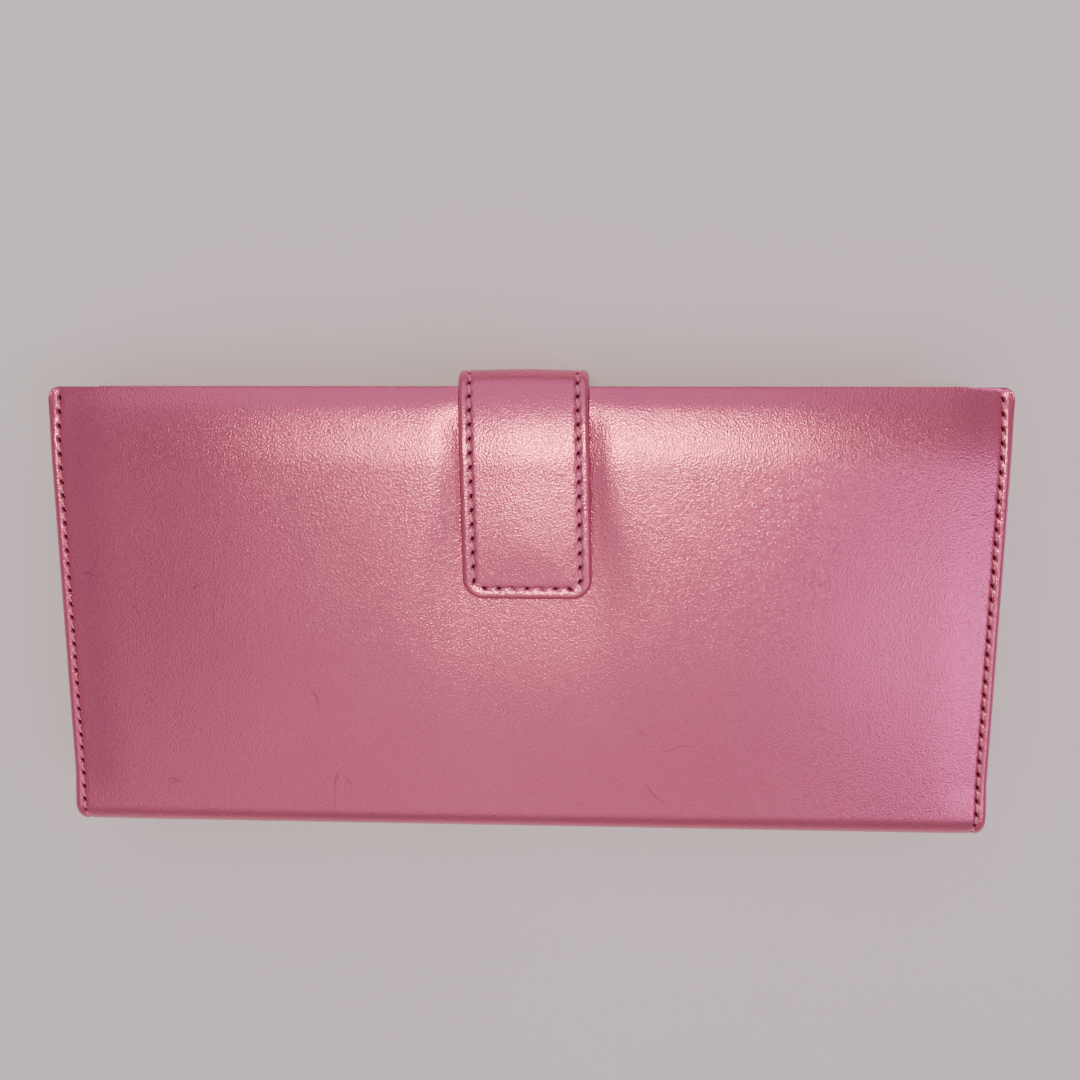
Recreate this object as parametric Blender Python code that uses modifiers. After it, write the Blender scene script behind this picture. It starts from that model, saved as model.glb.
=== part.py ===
"""A long leather wallet that opens like a book and shuts with a strap tab.

Frame: metres, +Z up. The wallet lies on its back face, which is the plane z = 0. X runs along
the width, -Y is the spine, +Y is the opening edge, and the front cover faces +Z. The origin is
the middle of the back face.

Three bodies make the book: the back half, the spine and the front half. The strap is let into
the back half's opening edge; its riser stands outside that edge, and its tab lies on the front
cover, where a hidden snap holds it. A zip coin pocket with its slider and puller is in the back
half. Every leather is a separate sheet, and the sheets are stacked with a small gap.
"""

import math

import bmesh
import bpy
from mathutils import Matrix, Vector

# Driving dimensions
WIDTH = 0.190  # over both side seams
DEPTH = 0.092  # from the spine to the opening edge
THICKNESS = 0.0225  # from the back face to the front face, without the strap
LEATHER = 0.0010
LINING = 0.0007
BOARD = 0.0018
CLEAR_SHEET = 0.0005
GAP = 0.0003  # between sheets that touch on the real wallet
CREASE_RADIUS = 0.0045  # of the leather's middle, at each edge of the spine
BOARD_INSET = 0.004  # from the side of the cover, so that the seam misses the board
LINING_INSET = 0.0025
WALL_CORNER = 0.002
SLOT_CORNER = 0.0015
STRAP_WIDTH = 0.0256
STRAP_END_Y = 0.0043  # the tab's free end, lying on the front cover
STRAP_OUTSIDE = 0.0033  # how far the riser stands outside the opening edge
SNAP_Y = 0.0170

# Places that follow from them
SIDE = WIDTH / 2
SPINE_Y = -DEPTH / 2
EDGE_Y = DEPTH / 2
PANEL = 2 * LEATHER + BOARD + 2 * GAP  # a cover turned round its board
FOLD_RADIUS = (PANEL - LEATHER) / 2
STRAP_LAYERS = LEATHER + GAP + LINING
STRAP_SIDE = STRAP_WIDTH / 2
STRAP_Y = EDGE_Y + STRAP_OUTSIDE - STRAP_LAYERS / 2  # middle of the riser
STRAP_Z = THICKNESS + GAP + STRAP_LAYERS / 2  # middle of the tab
ROOT_BEND_RADIUS = 0.0026
TAB_BEND_RADIUS = 0.0035
STRAP_CORNER = 0.0040

# The pockets
POCKET_SIDE = SIDE - 0.005
COLUMN_GAP = 0.0010  # from the middle line to each column of card slots
POCKET_FOOT = SPINE_Y + 0.006
NOTE_POCKET_TOP = EDGE_Y - 0.005
BACK_SLOT_TOPS = (0.022, 0.012, 0.002)
FRONT_SLOT_TOPS = (0.036, 0.022, 0.008)
WINDOW_TOP = 0.033
COIN_CAVITY = 0.0036
COIN_RIM = 0.0020
COIN_TOP = 0.042

# The zip
ZIP_Y = 0.0330
ZIP_MOUTH_SIDE = 0.080
ZIP_MOUTH_HALF = 0.0045
TOOTH_PITCH = 0.0028
TOOTH_WIDTH = 0.0011
TOOTH_REACH = 0.0009  # how far a tooth passes the middle of the chain
CHAIN_BASE = (0.0012, 0.0020)  # the strip that carries a row, from the middle of the chain
CHAIN_HEIGHT = 0.0018
TAPE = 0.0004
TAPE_INNER = CHAIN_BASE[1] + GAP
TAPE_OUTER = 0.0066
TEETH_FROM, TEETH_TO = -0.0765, 0.0730
SLIDER_X = 0.0720
SLIDER_LENGTH = 0.0080
SLIDER_WIDTH = 0.0065
WING = 0.0006
PIVOT_X = SLIDER_X - 0.0022  # the post of the slider's arch that the puller hangs on
PULLER_LENGTH = 0.0220

CORNER_SEGMENTS = 4
ARC_SEGMENTS = 8
ROUND_SEGMENTS = 28


def stack(first, direction, thicknesses):
    """The (low, high) levels of sheets laid one on the other from first, GAP apart."""
    levels, at = [], first
    for thickness in thicknesses:
        levels.append(tuple(sorted((at, at + direction * thickness))))
        at += direction * (thickness + GAP)
    return levels


def hinge_point(corner, radius, along):
    """Where to hinge a right-angled bend so that its leather keeps its length when flattened.

    corner is where the two straight stretches would meet, in the YZ plane, and along holds the
    signs that lead from it to the inside of the bend. The arc flattens to its own length when
    the hinge stands in from the corner by radius * (1 - pi / 4) each way.
    """
    inset = radius * (1 - math.pi / 4)
    return (corner[0] + along[0] * inset, corner[1] + along[1] * inset)


BACK = stack(0, 1, (LEATHER, BOARD, LEATHER, LINING, LINING))
_, BACK_BOARD, _, BACK_NOTE, COIN_REAR = BACK
COIN_FRONT = (COIN_REAR[1] + COIN_CAVITY, COIN_REAR[1] + COIN_CAVITY + LINING)
BACK_SLOTS = stack(COIN_FRONT[1] + GAP, 1, [LINING] * len(BACK_SLOT_TOPS))
FRONT = stack(THICKNESS, -1, (LEATHER, BOARD, LEATHER, LINING))
_, FRONT_BOARD, _, FRONT_NOTE = FRONT
FRONT_SLOTS = stack(FRONT_NOTE[0] - GAP, -1, [LINING] * len(FRONT_SLOT_TOPS))
CHAIN_Z = COIN_FRONT[0] - 0.0005  # middle height of the chain and its tapes
TAB_LINING = (THICKNESS + GAP, THICKNESS + GAP + LINING)
TAB_LEATHER = (TAB_LINING[1] + GAP, TAB_LINING[1] + GAP + LEATHER)

LEATHER_MIDDLE = LEATHER / 2
BACK_CREASE = hinge_point((SPINE_Y + LEATHER_MIDDLE, LEATHER_MIDDLE), CREASE_RADIUS, (1, 1))
FRONT_CREASE = (BACK_CREASE[0], THICKNESS - BACK_CREASE[1])
STRAP_ROOT_Z = (BACK_BOARD[0] + BACK_BOARD[1]) / 2
STRAP_HINGE = hinge_point((STRAP_Y, STRAP_ROOT_Z), ROOT_BEND_RADIUS, (-1, 1))
TAB_HINGE = hinge_point((STRAP_Y, STRAP_Z), TAB_BEND_RADIUS, (-1, -1))


def clear_scene():
    for obj in list(bpy.data.objects):
        bpy.data.objects.remove(obj, do_unlink=True)


def make_material(name, colour, roughness, metallic=0.0, alpha=1.0):
    material = bpy.data.materials.new(name)
    material.use_nodes = True
    shader = material.node_tree.nodes["Principled BSDF"]
    shader.inputs["Base Color"].default_value = (*colour, 1.0)
    shader.inputs["Roughness"].default_value = roughness
    shader.inputs["Metallic"].default_value = metallic
    shader.inputs["Alpha"].default_value = alpha
    return material


def make_collection(name):
    collection = bpy.data.collections.new(name)
    bpy.context.scene.collection.children.link(collection)
    return collection


def make_body(name, place=(0.0, 0.0, 0.0)):
    """An empty on the body's joint axis, which its parts hang on."""
    empty = bpy.data.objects.new(name, None)
    empty.location = place
    empty.empty_display_size = 0.01
    PARTS.objects.link(empty)
    return empty


def put(obj, body=None):
    """Links obj to the parts under its body or, with no body, to the cutters."""
    if body is None:
        CUTTERS.objects.link(obj)
        obj.hide_render = True
        obj.display_type = "WIRE"
        return obj
    PARTS.objects.link(obj)
    obj.parent = body
    obj.matrix_parent_inverse = Matrix.Translation(body.location).inverted()
    return obj


def add_mesh(name, bm, finish, body, place=(0.0, 0.0, 0.0)):
    mesh = bpy.data.meshes.new(name)
    bm.to_mesh(mesh)
    bm.free()
    if finish:
        mesh.materials.append(finish)
    obj = bpy.data.objects.new(name, mesh)
    obj.location = place
    return put(obj, body)


def box(name, x, y, z, finish=None, body=None, corner=0.0, rounded="all"):
    """A flat sheet or block between the given limits, with its upright corners rounded.

    rounded is "all", or "free_end" for the two corners on the -Y side only.
    """
    size = Vector((x[1] - x[0], y[1] - y[0], z[1] - z[0]))
    bm = bmesh.new()
    bmesh.ops.create_cube(bm, size=1.0)
    bmesh.ops.scale(bm, vec=size, verts=bm.verts)
    if corner:
        upright = [
            edge
            for edge in bm.edges
            if abs(edge.verts[0].co.z - edge.verts[1].co.z) > size.z / 2
            and (rounded == "all" or edge.verts[0].co.y < 0)
        ]
        bmesh.ops.bevel(
            bm,
            geom=upright,
            offset=corner,
            segments=CORNER_SEGMENTS,
            profile=0.5,
            affect="EDGES",
        )
    middle = [(low + high) / 2 for low, high in (x, y, z)]
    return add_mesh(name, bm, finish, body, middle)


def cylinder(name, place, radius, z, finish=None, body=None):
    bm = bmesh.new()
    bmesh.ops.create_cone(
        bm,
        cap_ends=True,
        segments=ROUND_SEGMENTS,
        radius1=radius,
        radius2=radius,
        depth=z[1] - z[0],
    )
    return add_mesh(name, bm, finish, body, (place[0], place[1], (z[0] + z[1]) / 2))


def arc(centre, radius, start, end, segments=ARC_SEGMENTS):
    """Points along an arc, with the angles in degrees."""
    points = []
    for step in range(segments + 1):
        angle = math.radians(start + (end - start) * step / segments)
        points.append(
            (
                centre[0] + radius * math.cos(angle),
                centre[1] + radius * math.sin(angle),
            )
        )
    return points


def bent_sheet(name, path, half_width, thickness, finish, body):
    """A sheet whose middle follows a path of (y, z) points, carried along X."""
    bm = bmesh.new()
    rows = [
        [bm.verts.new((x, y, z)) for x in (-half_width, half_width)] for y, z in path
    ]
    for (left, right), (next_left, next_right) in zip(rows, rows[1:]):
        bm.faces.new((left, right, next_right, next_left))
    obj = add_mesh(name, bm, finish, body)
    solidify = obj.modifiers.new("thickness", "SOLIDIFY")
    solidify.thickness = thickness
    solidify.offset = 0.0
    solidify.use_even_offset = True
    return obj


def turned(name, profile, finish, body):
    """A round piece at the snap: (radius, z) points down its outer side, closed by the axis."""
    bm = bmesh.new()
    verts = [bm.verts.new((radius, 0.0, z)) for radius, z in profile]
    for low, high in zip(verts, verts[1:]):
        bm.edges.new((low, high))
    if profile[0][0] > 0:
        bm.edges.new((verts[-1], verts[0]))
    obj = add_mesh(name, bm, finish, body, (0.0, SNAP_Y, 0.0))
    screw = obj.modifiers.new("turn", "SCREW")
    screw.steps = screw.render_steps = ROUND_SEGMENTS
    screw.use_merge_vertices = True
    screw.merge_threshold = 0.00001
    return obj


def outline_plate(name, outlines, place, thickness, finish, body):
    """A flat plate in XY from closed outlines, where an inner outline makes a hole."""
    curve = bpy.data.curves.new(name, "CURVE")
    curve.dimensions = "2D"
    curve.fill_mode = "BOTH"
    curve.extrude = thickness / 2
    for points in outlines:
        spline = curve.splines.new("POLY")
        spline.points.add(len(points) - 1)
        for point, (x, y) in zip(spline.points, points):
            point.co = (x, y, 0.0, 1.0)
        spline.use_cyclic_u = True
    curve.materials.append(finish)
    obj = bpy.data.objects.new(name, curve)
    obj.location = place
    return put(obj, body)


def boolean(obj, tool, operation="DIFFERENCE"):
    modifier = obj.modifiers.new(tool.name, "BOOLEAN")
    modifier.operation = operation
    modifier.object = tool


def cover_path(edge_of_crease, leaf_end, outer_z, inward):
    """The middle of a cover's leather: outer face, fold round the opening edge, inner leaf."""
    fold = (EDGE_Y - LEATHER_MIDDLE - FOLD_RADIUS, outer_z + inward * FOLD_RADIUS)
    turn = arc(fold, FOLD_RADIUS, -90 * inward, 90 * inward)
    return [(edge_of_crease, outer_z), *turn, (leaf_end, outer_z + 2 * inward * FOLD_RADIUS)]


def make_back_half(body):
    flat_from = SPINE_Y + LEATHER_MIDDLE + CREASE_RADIUS
    path = cover_path(flat_from + GAP / 2, POCKET_FOOT, LEATHER_MIDDLE, 1)
    cover = bent_sheet("back_cover_leather", path, SIDE, LEATHER, LEATHER_FINISH, body)
    slit = box(
        "strap_slit",
        (-STRAP_SIDE - GAP, STRAP_SIDE + GAP),
        (EDGE_Y - 0.0024, EDGE_Y + LEATHER),
        (BACK_BOARD[0] - GAP, BACK_BOARD[1] + GAP),
    )
    boolean(cover, slit)
    board = box(
        "back_board",
        (-SIDE + BOARD_INSET, SIDE - BOARD_INSET),
        (POCKET_FOOT, EDGE_Y - 0.003),
        BACK_BOARD,
        BOARD_FINISH,
        body,
        corner=WALL_CORNER,
    )
    notch = box(
        "strap_notch",
        (-STRAP_SIDE - 2 * GAP, STRAP_SIDE + 2 * GAP),
        (EDGE_Y - 0.0155, EDGE_Y),
        (0.0, PANEL),
    )
    boolean(board, notch)
    box(
        "back_note_pocket",
        (-SIDE + LINING_INSET, SIDE - LINING_INSET),
        (POCKET_FOOT, NOTE_POCKET_TOP),
        BACK_NOTE,
        LINING_FINISH,
        body,
        corner=WALL_CORNER,
    )
    make_slots("back_card_slot_left", -1, BACK_SLOT_TOPS, BACK_SLOTS, body)
    make_slots("back_card_slot_right", 1, BACK_SLOT_TOPS, BACK_SLOTS, body)


def column(side):
    return tuple(sorted((side * COLUMN_GAP, side * POCKET_SIDE)))


def make_slots(name, side, tops, levels, body):
    """Card slots stepped down the panel, each a sheet from its mouth to the pockets' foot."""
    for number, (top, level) in enumerate(zip(tops, levels), start=1):
        box(
            f"{name}_{number}",
            column(side),
            (POCKET_FOOT, top),
            level,
            LEATHER_FINISH,
            body,
            corner=SLOT_CORNER,
        )


def make_coin_pocket(body):
    """A shallow tray, mouth down on its rear wall, with a window for the zip in its face."""
    reach = (-POCKET_SIDE, POCKET_SIDE)
    box(
        "coin_pocket_rear",
        reach,
        (POCKET_FOOT, COIN_TOP),
        COIN_REAR,
        LINING_FINISH,
        body,
        corner=WALL_CORNER,
    )
    front = box(
        "coin_pocket_front",
        reach,
        (POCKET_FOOT, COIN_TOP),
        (COIN_REAR[1] + GAP, COIN_FRONT[1]),
        LEATHER_FINISH,
        body,
        corner=WALL_CORNER,
    )
    cavity = box(
        "coin_cavity",
        (reach[0] + COIN_RIM, reach[1] - COIN_RIM),
        (POCKET_FOOT + COIN_RIM, COIN_TOP - COIN_RIM),
        (COIN_REAR[0], COIN_FRONT[0]),
    )
    boolean(front, cavity)
    mouth = box(
        "zip_mouth",
        (-ZIP_MOUTH_SIDE, ZIP_MOUTH_SIDE),
        (ZIP_Y - ZIP_MOUTH_HALF, ZIP_Y + ZIP_MOUTH_HALF),
        (COIN_REAR[1], COIN_FRONT[1] + LEATHER),
        corner=SLOT_CORNER,
    )
    boolean(front, mouth)


def teeth_outline(side, shift):
    """One row's outline: a strip beside the middle line, with teeth that reach across it."""
    reach, near, far = (-side * TOOTH_REACH, side * CHAIN_BASE[0], side * CHAIN_BASE[1])
    points = [(TEETH_TO, far), (TEETH_FROM, far), (TEETH_FROM, near)]
    count = int((TEETH_TO - TEETH_FROM) / TOOTH_PITCH)
    for number in range(count):
        low = TEETH_FROM + shift + number * TOOTH_PITCH
        high = low + TOOTH_WIDTH
        points += [(low, near), (low, reach), (high, reach), (high, near)]
    points.append((TEETH_TO, near))
    return points


def make_zip(body):
    for side, word in ((1, "upper"), (-1, "lower")):
        box(
            f"zip_tape_{word}",
            (-ZIP_MOUTH_SIDE - 0.005, ZIP_MOUTH_SIDE + 0.005),
            sorted((ZIP_Y + side * TAPE_INNER, ZIP_Y + side * TAPE_OUTER)),
            (CHAIN_Z - TAPE / 2, CHAIN_Z + TAPE / 2),
            TAPE_FINISH,
            body,
        )
        shift = GAP if side > 0 else GAP + TOOTH_PITCH / 2
        outline_plate(
            f"zip_teeth_{word}",
            [teeth_outline(side, shift)],
            (0.0, ZIP_Y, CHAIN_Z),
            CHAIN_HEIGHT,
            METAL_FINISH,
            body,
        )
        box(
            f"zip_stop_closed_{word}",
            (ZIP_MOUTH_SIDE - 0.0030, ZIP_MOUTH_SIDE - 0.0014),
            sorted((ZIP_Y + side * 0.0003, ZIP_Y + side * CHAIN_BASE[1])),
            (CHAIN_Z - CHAIN_HEIGHT / 2, CHAIN_Z + CHAIN_HEIGHT / 2),
            METAL_FINISH,
            body,
        )
    box(
        "zip_stop_open",
        (TEETH_FROM - GAP - 0.0016, TEETH_FROM - GAP),
        (ZIP_Y - CHAIN_BASE[1], ZIP_Y + CHAIN_BASE[1]),
        (CHAIN_Z - CHAIN_HEIGHT / 2, CHAIN_Z + CHAIN_HEIGHT / 2),
        METAL_FINISH,
        body,
    )


def make_slider(body):
    """Two wings joined by a post ahead of the last teeth, with an arch for the puller."""
    clear = CHAIN_HEIGHT / 2 + GAP
    front, rear = SLIDER_X + SLIDER_LENGTH / 2, SLIDER_X - SLIDER_LENGTH / 2
    across = (ZIP_Y - SLIDER_WIDTH / 2, ZIP_Y + SLIDER_WIDTH / 2)
    top = CHAIN_Z + clear + WING
    slider = box(
        "zip_slider",
        (rear, front),
        across,
        (CHAIN_Z - clear - WING, CHAIN_Z - clear),
        METAL_FINISH,
        body,
        corner=0.0016,
    )
    narrow = (ZIP_Y - 0.0007, ZIP_Y + 0.0007)
    bar_z = (top + 0.0014, top + 0.0022)
    pieces = (
        box("slider_wing", (rear, front), across, (CHAIN_Z + clear, top), corner=0.0016),
        box(
            "slider_post",
            (front - 0.0022, front - 0.0008),
            narrow,
            (CHAIN_Z - clear - WING / 2, top - WING / 2),
        ),
        box(
            "arch_rear",
            (PIVOT_X - 0.0006, PIVOT_X + 0.0006),
            narrow,
            (top - WING / 2, bar_z[1]),
        ),
        box(
            "arch_front",
            (SLIDER_X + 0.0018, SLIDER_X + 0.0030),
            narrow,
            (top - WING / 2, bar_z[1]),
        ),
        box(
            "arch_bar",
            (PIVOT_X - 0.0004, SLIDER_X + 0.0028),
            (narrow[0] + 0.0001, narrow[1] - 0.0001),
            (bar_z[0], bar_z[1] - 0.0001),
        ),
    )
    for piece in pieces:
        boolean(slider, piece, "UNION")
    return top


def make_puller(body, wing_top):
    """A ring that hangs on the arch's rear post, drawn out into a rounded tongue."""
    ring, hole, half_tongue, rounded = 0.0029, 0.0019, 0.0024, 0.0020
    end = -PULLER_LENGTH
    outer = arc((0.0, 0.0), ring, -125, 125, 2 * ARC_SEGMENTS)
    outer += [(-0.0065, half_tongue)]
    outer += arc((end + rounded, half_tongue - rounded), rounded, 90, 180)
    outer += arc((end + rounded, rounded - half_tongue), rounded, 180, 270)
    outer += [(-0.0065, -half_tongue)]
    eye = arc((0.0, 0.0), hole, 0, 345, 23)
    slot = arc((-0.0085, 0.0), 0.0009, -90, 90) + arc((end + 0.0040, 0.0), 0.0009, 90, 270)
    place = (PIVOT_X, ZIP_Y, wing_top + 0.0008)
    outline_plate("zip_puller", [outer, eye, slot], place, 0.0006, METAL_FINISH, body)


def make_spine(body):
    flat_y = SPINE_Y + LEATHER_MIDDLE
    low = LEATHER_MIDDLE + CREASE_RADIUS
    high = THICKNESS - low
    box(
        "spine_leather",
        (-SIDE, SIDE),
        (SPINE_Y, SPINE_Y + LEATHER),
        (low + GAP / 2, high - GAP / 2),
        LEATHER_FINISH,
        body,
    )
    for name, z, start in (("back_crease", low, 180), ("front_crease", high, 90)):
        centre = (flat_y + CREASE_RADIUS, z)
        trim = math.degrees(GAP / 2 / CREASE_RADIUS)
        path = arc(centre, CREASE_RADIUS, start + trim, start + 90 - trim)
        bent_sheet(name, path, SIDE, LEATHER, LEATHER_FINISH, body)
    board, lining = stack(SPINE_Y + LEATHER + GAP, 1, (BOARD / 2, LINING))
    box(
        "spine_board",
        (-SIDE + BOARD_INSET, SIDE - BOARD_INSET),
        board,
        (low, high),
        BOARD_FINISH,
        body,
    )
    box(
        "spine_lining",
        (-SIDE + LINING_INSET, SIDE - LINING_INSET),
        lining,
        (low - 0.001, high + 0.001),
        LINING_FINISH,
        body,
    )


def make_front_half(body):
    flat_from = SPINE_Y + LEATHER_MIDDLE + CREASE_RADIUS
    outer_z = THICKNESS - LEATHER_MIDDLE
    path = cover_path(flat_from + GAP / 2, POCKET_FOOT, outer_z, -1)
    cover = bent_sheet("front_cover_leather", path, SIDE, LEATHER, LEATHER_FINISH, body)
    snap = (0.0, SNAP_Y)
    above = (THICKNESS - LEATHER - GAP / 2, THICKNESS + LEATHER)
    boolean(cover, cylinder("stud_hole", snap, 0.0062, above))
    board = box(
        "front_board",
        (-SIDE + BOARD_INSET, SIDE - BOARD_INSET),
        (POCKET_FOOT, EDGE_Y - 0.003),
        FRONT_BOARD,
        BOARD_FINISH,
        body,
        corner=WALL_CORNER,
    )
    through = (FRONT_BOARD[0] - GAP / 2, FRONT_BOARD[1] + GAP / 2)
    boolean(board, cylinder("stud_base_hole", snap, 0.0055, through))
    box(
        "front_note_pocket",
        (-SIDE + LINING_INSET, SIDE - LINING_INSET),
        (POCKET_FOOT, NOTE_POCKET_TOP),
        FRONT_NOTE,
        LINING_FINISH,
        body,
        corner=WALL_CORNER,
    )
    make_slots("front_card_slot", 1, FRONT_SLOT_TOPS, FRONT_SLOTS, body)


def make_window(body):
    """A clear sheet between a backing and a leather frame, over the left column."""
    left, right = column(-1)
    rear, clear, frame = FRONT_SLOTS
    box(
        "window_backing",
        (left, right),
        (POCKET_FOOT, FRONT_SLOT_TOPS[0]),
        rear,
        LEATHER_FINISH,
        body,
        corner=SLOT_CORNER,
    )
    box(
        "clear_window",
        (left + 0.004, right - 0.004),
        (POCKET_FOOT + 0.004, WINDOW_TOP - 0.001),
        (clear[1] - CLEAR_SHEET, clear[1]),
        CLEAR_FINISH,
        body,
    )
    surround = box(
        "window_frame",
        (left, right),
        (POCKET_FOOT, WINDOW_TOP),
        frame,
        LEATHER_FINISH,
        body,
        corner=SLOT_CORNER,
    )
    opening = box(
        "window_opening",
        (left + 0.009, right - 0.009),
        (POCKET_FOOT + 0.012, WINDOW_TOP - 0.008),
        (frame[0] - GAP / 2, frame[1] + GAP / 2),
        corner=0.004,
    )
    boolean(surround, opening)


def make_snap_stud(body):
    t = THICKNESS
    stud = [
        (0.0, t + 0.0009),
        (0.0016, t + 0.0009),
        (0.0022, t + 0.0005),
        (0.0022, t + 0.0002),
        (0.0018, t - 0.0001),
        (0.0018, t - 0.0004),
        (0.0055, t - 0.0005),
        (0.0055, t - 0.0010),
        (0.0, t - 0.0010),
    ]
    turned("snap_stud", stud, METAL_FINISH, body)
    base = [
        (0.0, t - 0.0013),
        (0.0012, t - 0.0013),
        (0.0012, t - 0.0020),
        (0.0050, t - 0.0020),
        (0.0050, t - 0.0026),
        (0.0, t - 0.0026),
    ]
    turned("snap_stud_base", base, METAL_FINISH, body)


def make_strap_root(body):
    box(
        "strap_root",
        (-STRAP_SIDE, STRAP_SIDE),
        (EDGE_Y - 0.0150, STRAP_Y - ROOT_BEND_RADIUS - GAP),
        BACK_BOARD,
        LEATHER_FINISH,
        body,
    )


def make_strap_riser(body):
    low = STRAP_ROOT_Z + ROOT_BEND_RADIUS
    high = STRAP_Z - TAB_BEND_RADIUS
    upright = (low + GAP, high - GAP)
    outside = EDGE_Y + STRAP_OUTSIDE
    leather, lining = stack(outside, -1, (LEATHER, LINING))
    across = (-STRAP_SIDE, STRAP_SIDE)
    box("strap_riser_leather", across, leather, upright, LEATHER_FINISH, body)
    box("strap_riser_lining", across, lining, upright, LINING_FINISH, body)
    layers = BACK_BOARD[1] - BACK_BOARD[0]
    lower = arc((STRAP_Y - ROOT_BEND_RADIUS, low), ROOT_BEND_RADIUS, -90, 0)
    upper = arc((STRAP_Y - TAB_BEND_RADIUS, high), TAB_BEND_RADIUS, 0, 90)
    bent_sheet("strap_lower_bend", lower, STRAP_SIDE, layers, LEATHER_FINISH, body)
    bent_sheet("strap_upper_bend", upper, STRAP_SIDE, layers, LEATHER_FINISH, body)


def make_strap_tab(body):
    across = (-STRAP_SIDE, STRAP_SIDE)
    along = (STRAP_END_Y, STRAP_Y - TAB_BEND_RADIUS - GAP)
    rounding = {"corner": STRAP_CORNER, "rounded": "free_end"}
    leather = box(
        "strap_tab_leather", across, along, TAB_LEATHER, LEATHER_FINISH, body, **rounding
    )
    lining = box(
        "strap_tab_lining", across, along, TAB_LINING, LINING_FINISH, body, **rounding
    )
    snap = (0.0, SNAP_Y)
    recess = (TAB_LEATHER[0] - GAP, TAB_LEATHER[0] + LEATHER / 2)
    boolean(leather, cylinder("cap_recess", snap, 0.0046, recess))
    through = (TAB_LINING[0] - GAP / 2, TAB_LINING[1] + GAP / 2)
    boolean(lining, cylinder("socket_hole", snap, 0.0064, through))
    t = THICKNESS
    socket = [
        (0.0030, t + 0.0010),
        (0.0056, t + 0.0010),
        (0.0060, t + 0.0006),
        (0.0060, t + 0.0002),
        (0.0056, t - 0.0001),
        (0.0027, t - 0.0001),
        (0.0027, t + 0.0007),
    ]
    turned("snap_socket", socket, METAL_FINISH, body)
    cap = (TAB_LEATHER[0], TAB_LEATHER[0] + GAP)
    cylinder("snap_cap", snap, 0.0042, cap, METAL_FINISH, body)


clear_scene()
PARTS = make_collection("long_wallet")
CUTTERS = make_collection("cutters")
LEATHER_FINISH = make_material("pink_leather", (0.43, 0.13, 0.20), 0.38)
LINING_FINISH = make_material("pink_lining", (0.33, 0.10, 0.15), 0.60)
BOARD_FINISH = make_material("grey_board", (0.45, 0.43, 0.40), 0.90)
TAPE_FINISH = make_material("zip_tape", (0.30, 0.08, 0.13), 0.85)
METAL_FINISH = make_material("pale_gold", (0.80, 0.62, 0.42), 0.28, metallic=1.0)
CLEAR_FINISH = make_material("clear_vinyl", (0.95, 0.95, 0.95), 0.10, alpha=0.35)

back_half = make_body("back_half")
spine = make_body("spine", (0.0, *BACK_CREASE))
front_half = make_body("front_half", (0.0, *FRONT_CREASE))
strap_riser = make_body("strap_riser", (0.0, *STRAP_HINGE))
strap_tab = make_body("strap_tab", (0.0, *TAB_HINGE))
slider_body = make_body("slider", (SLIDER_X, ZIP_Y, CHAIN_Z))
puller_body = make_body("puller", (PIVOT_X, ZIP_Y, CHAIN_Z))

make_back_half(back_half)
make_strap_root(back_half)
make_coin_pocket(back_half)
make_zip(back_half)
make_spine(spine)
make_front_half(front_half)
make_window(front_half)
make_snap_stud(front_half)
make_strap_riser(strap_riser)
make_strap_tab(strap_tab)
make_puller(puller_body, make_slider(slider_body))

for joint, point in (
    ("spine_hinge", BACK_CREASE),
    ("cover_hinge", FRONT_CREASE),
    ("strap_hinge", STRAP_HINGE),
    ("tab_hinge", TAB_HINGE),
):
    print(f"{joint}: y {point[0]:.5f}, z {point[1]:.5f}")
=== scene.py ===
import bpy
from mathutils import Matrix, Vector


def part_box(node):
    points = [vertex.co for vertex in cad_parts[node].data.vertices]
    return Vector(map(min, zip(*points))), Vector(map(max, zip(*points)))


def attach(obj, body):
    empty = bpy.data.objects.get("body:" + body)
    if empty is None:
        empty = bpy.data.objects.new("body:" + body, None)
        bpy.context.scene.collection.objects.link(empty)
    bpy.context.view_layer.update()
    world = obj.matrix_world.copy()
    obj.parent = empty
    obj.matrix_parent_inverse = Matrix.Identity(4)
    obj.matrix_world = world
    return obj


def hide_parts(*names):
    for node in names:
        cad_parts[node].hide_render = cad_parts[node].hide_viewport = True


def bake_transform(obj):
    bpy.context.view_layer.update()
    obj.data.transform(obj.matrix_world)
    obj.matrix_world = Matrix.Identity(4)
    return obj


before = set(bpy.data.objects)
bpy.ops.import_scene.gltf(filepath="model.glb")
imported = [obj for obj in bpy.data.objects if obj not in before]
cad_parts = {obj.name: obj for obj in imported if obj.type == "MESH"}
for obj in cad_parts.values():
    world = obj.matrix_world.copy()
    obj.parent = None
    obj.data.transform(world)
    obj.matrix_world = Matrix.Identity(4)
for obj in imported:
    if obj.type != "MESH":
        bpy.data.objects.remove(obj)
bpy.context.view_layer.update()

import bmesh
import bpy
import numpy as np
from mathutils import Matrix, Vector

MM = 0.001


def side_of(node):
    """The largest distance of a node from the middle plane X = 0."""
    low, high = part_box(node)
    return max(-low.x, high.x)


SIDE = side_of("front_cover_leather")
EDGE_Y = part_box("front_cover_leather")[1].y
SPINE_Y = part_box("spine_leather")[0].y
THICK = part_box("front_cover_leather")[1].z
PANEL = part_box("back_cover_leather")[1].z
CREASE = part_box("back_crease")[1].z
SNAP_Y = sum(corner.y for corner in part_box("snap_stud")) / 2
print(f"half width {SIDE / MM:.1f} mm, opening edge {EDGE_Y / MM:.1f} mm, spine {SPINE_Y / MM:.1f} mm")
print(f"shut thickness {THICK / MM:.1f} mm, panel {PANEL / MM:.1f} mm, crease {CREASE / MM:.1f} mm")

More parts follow.
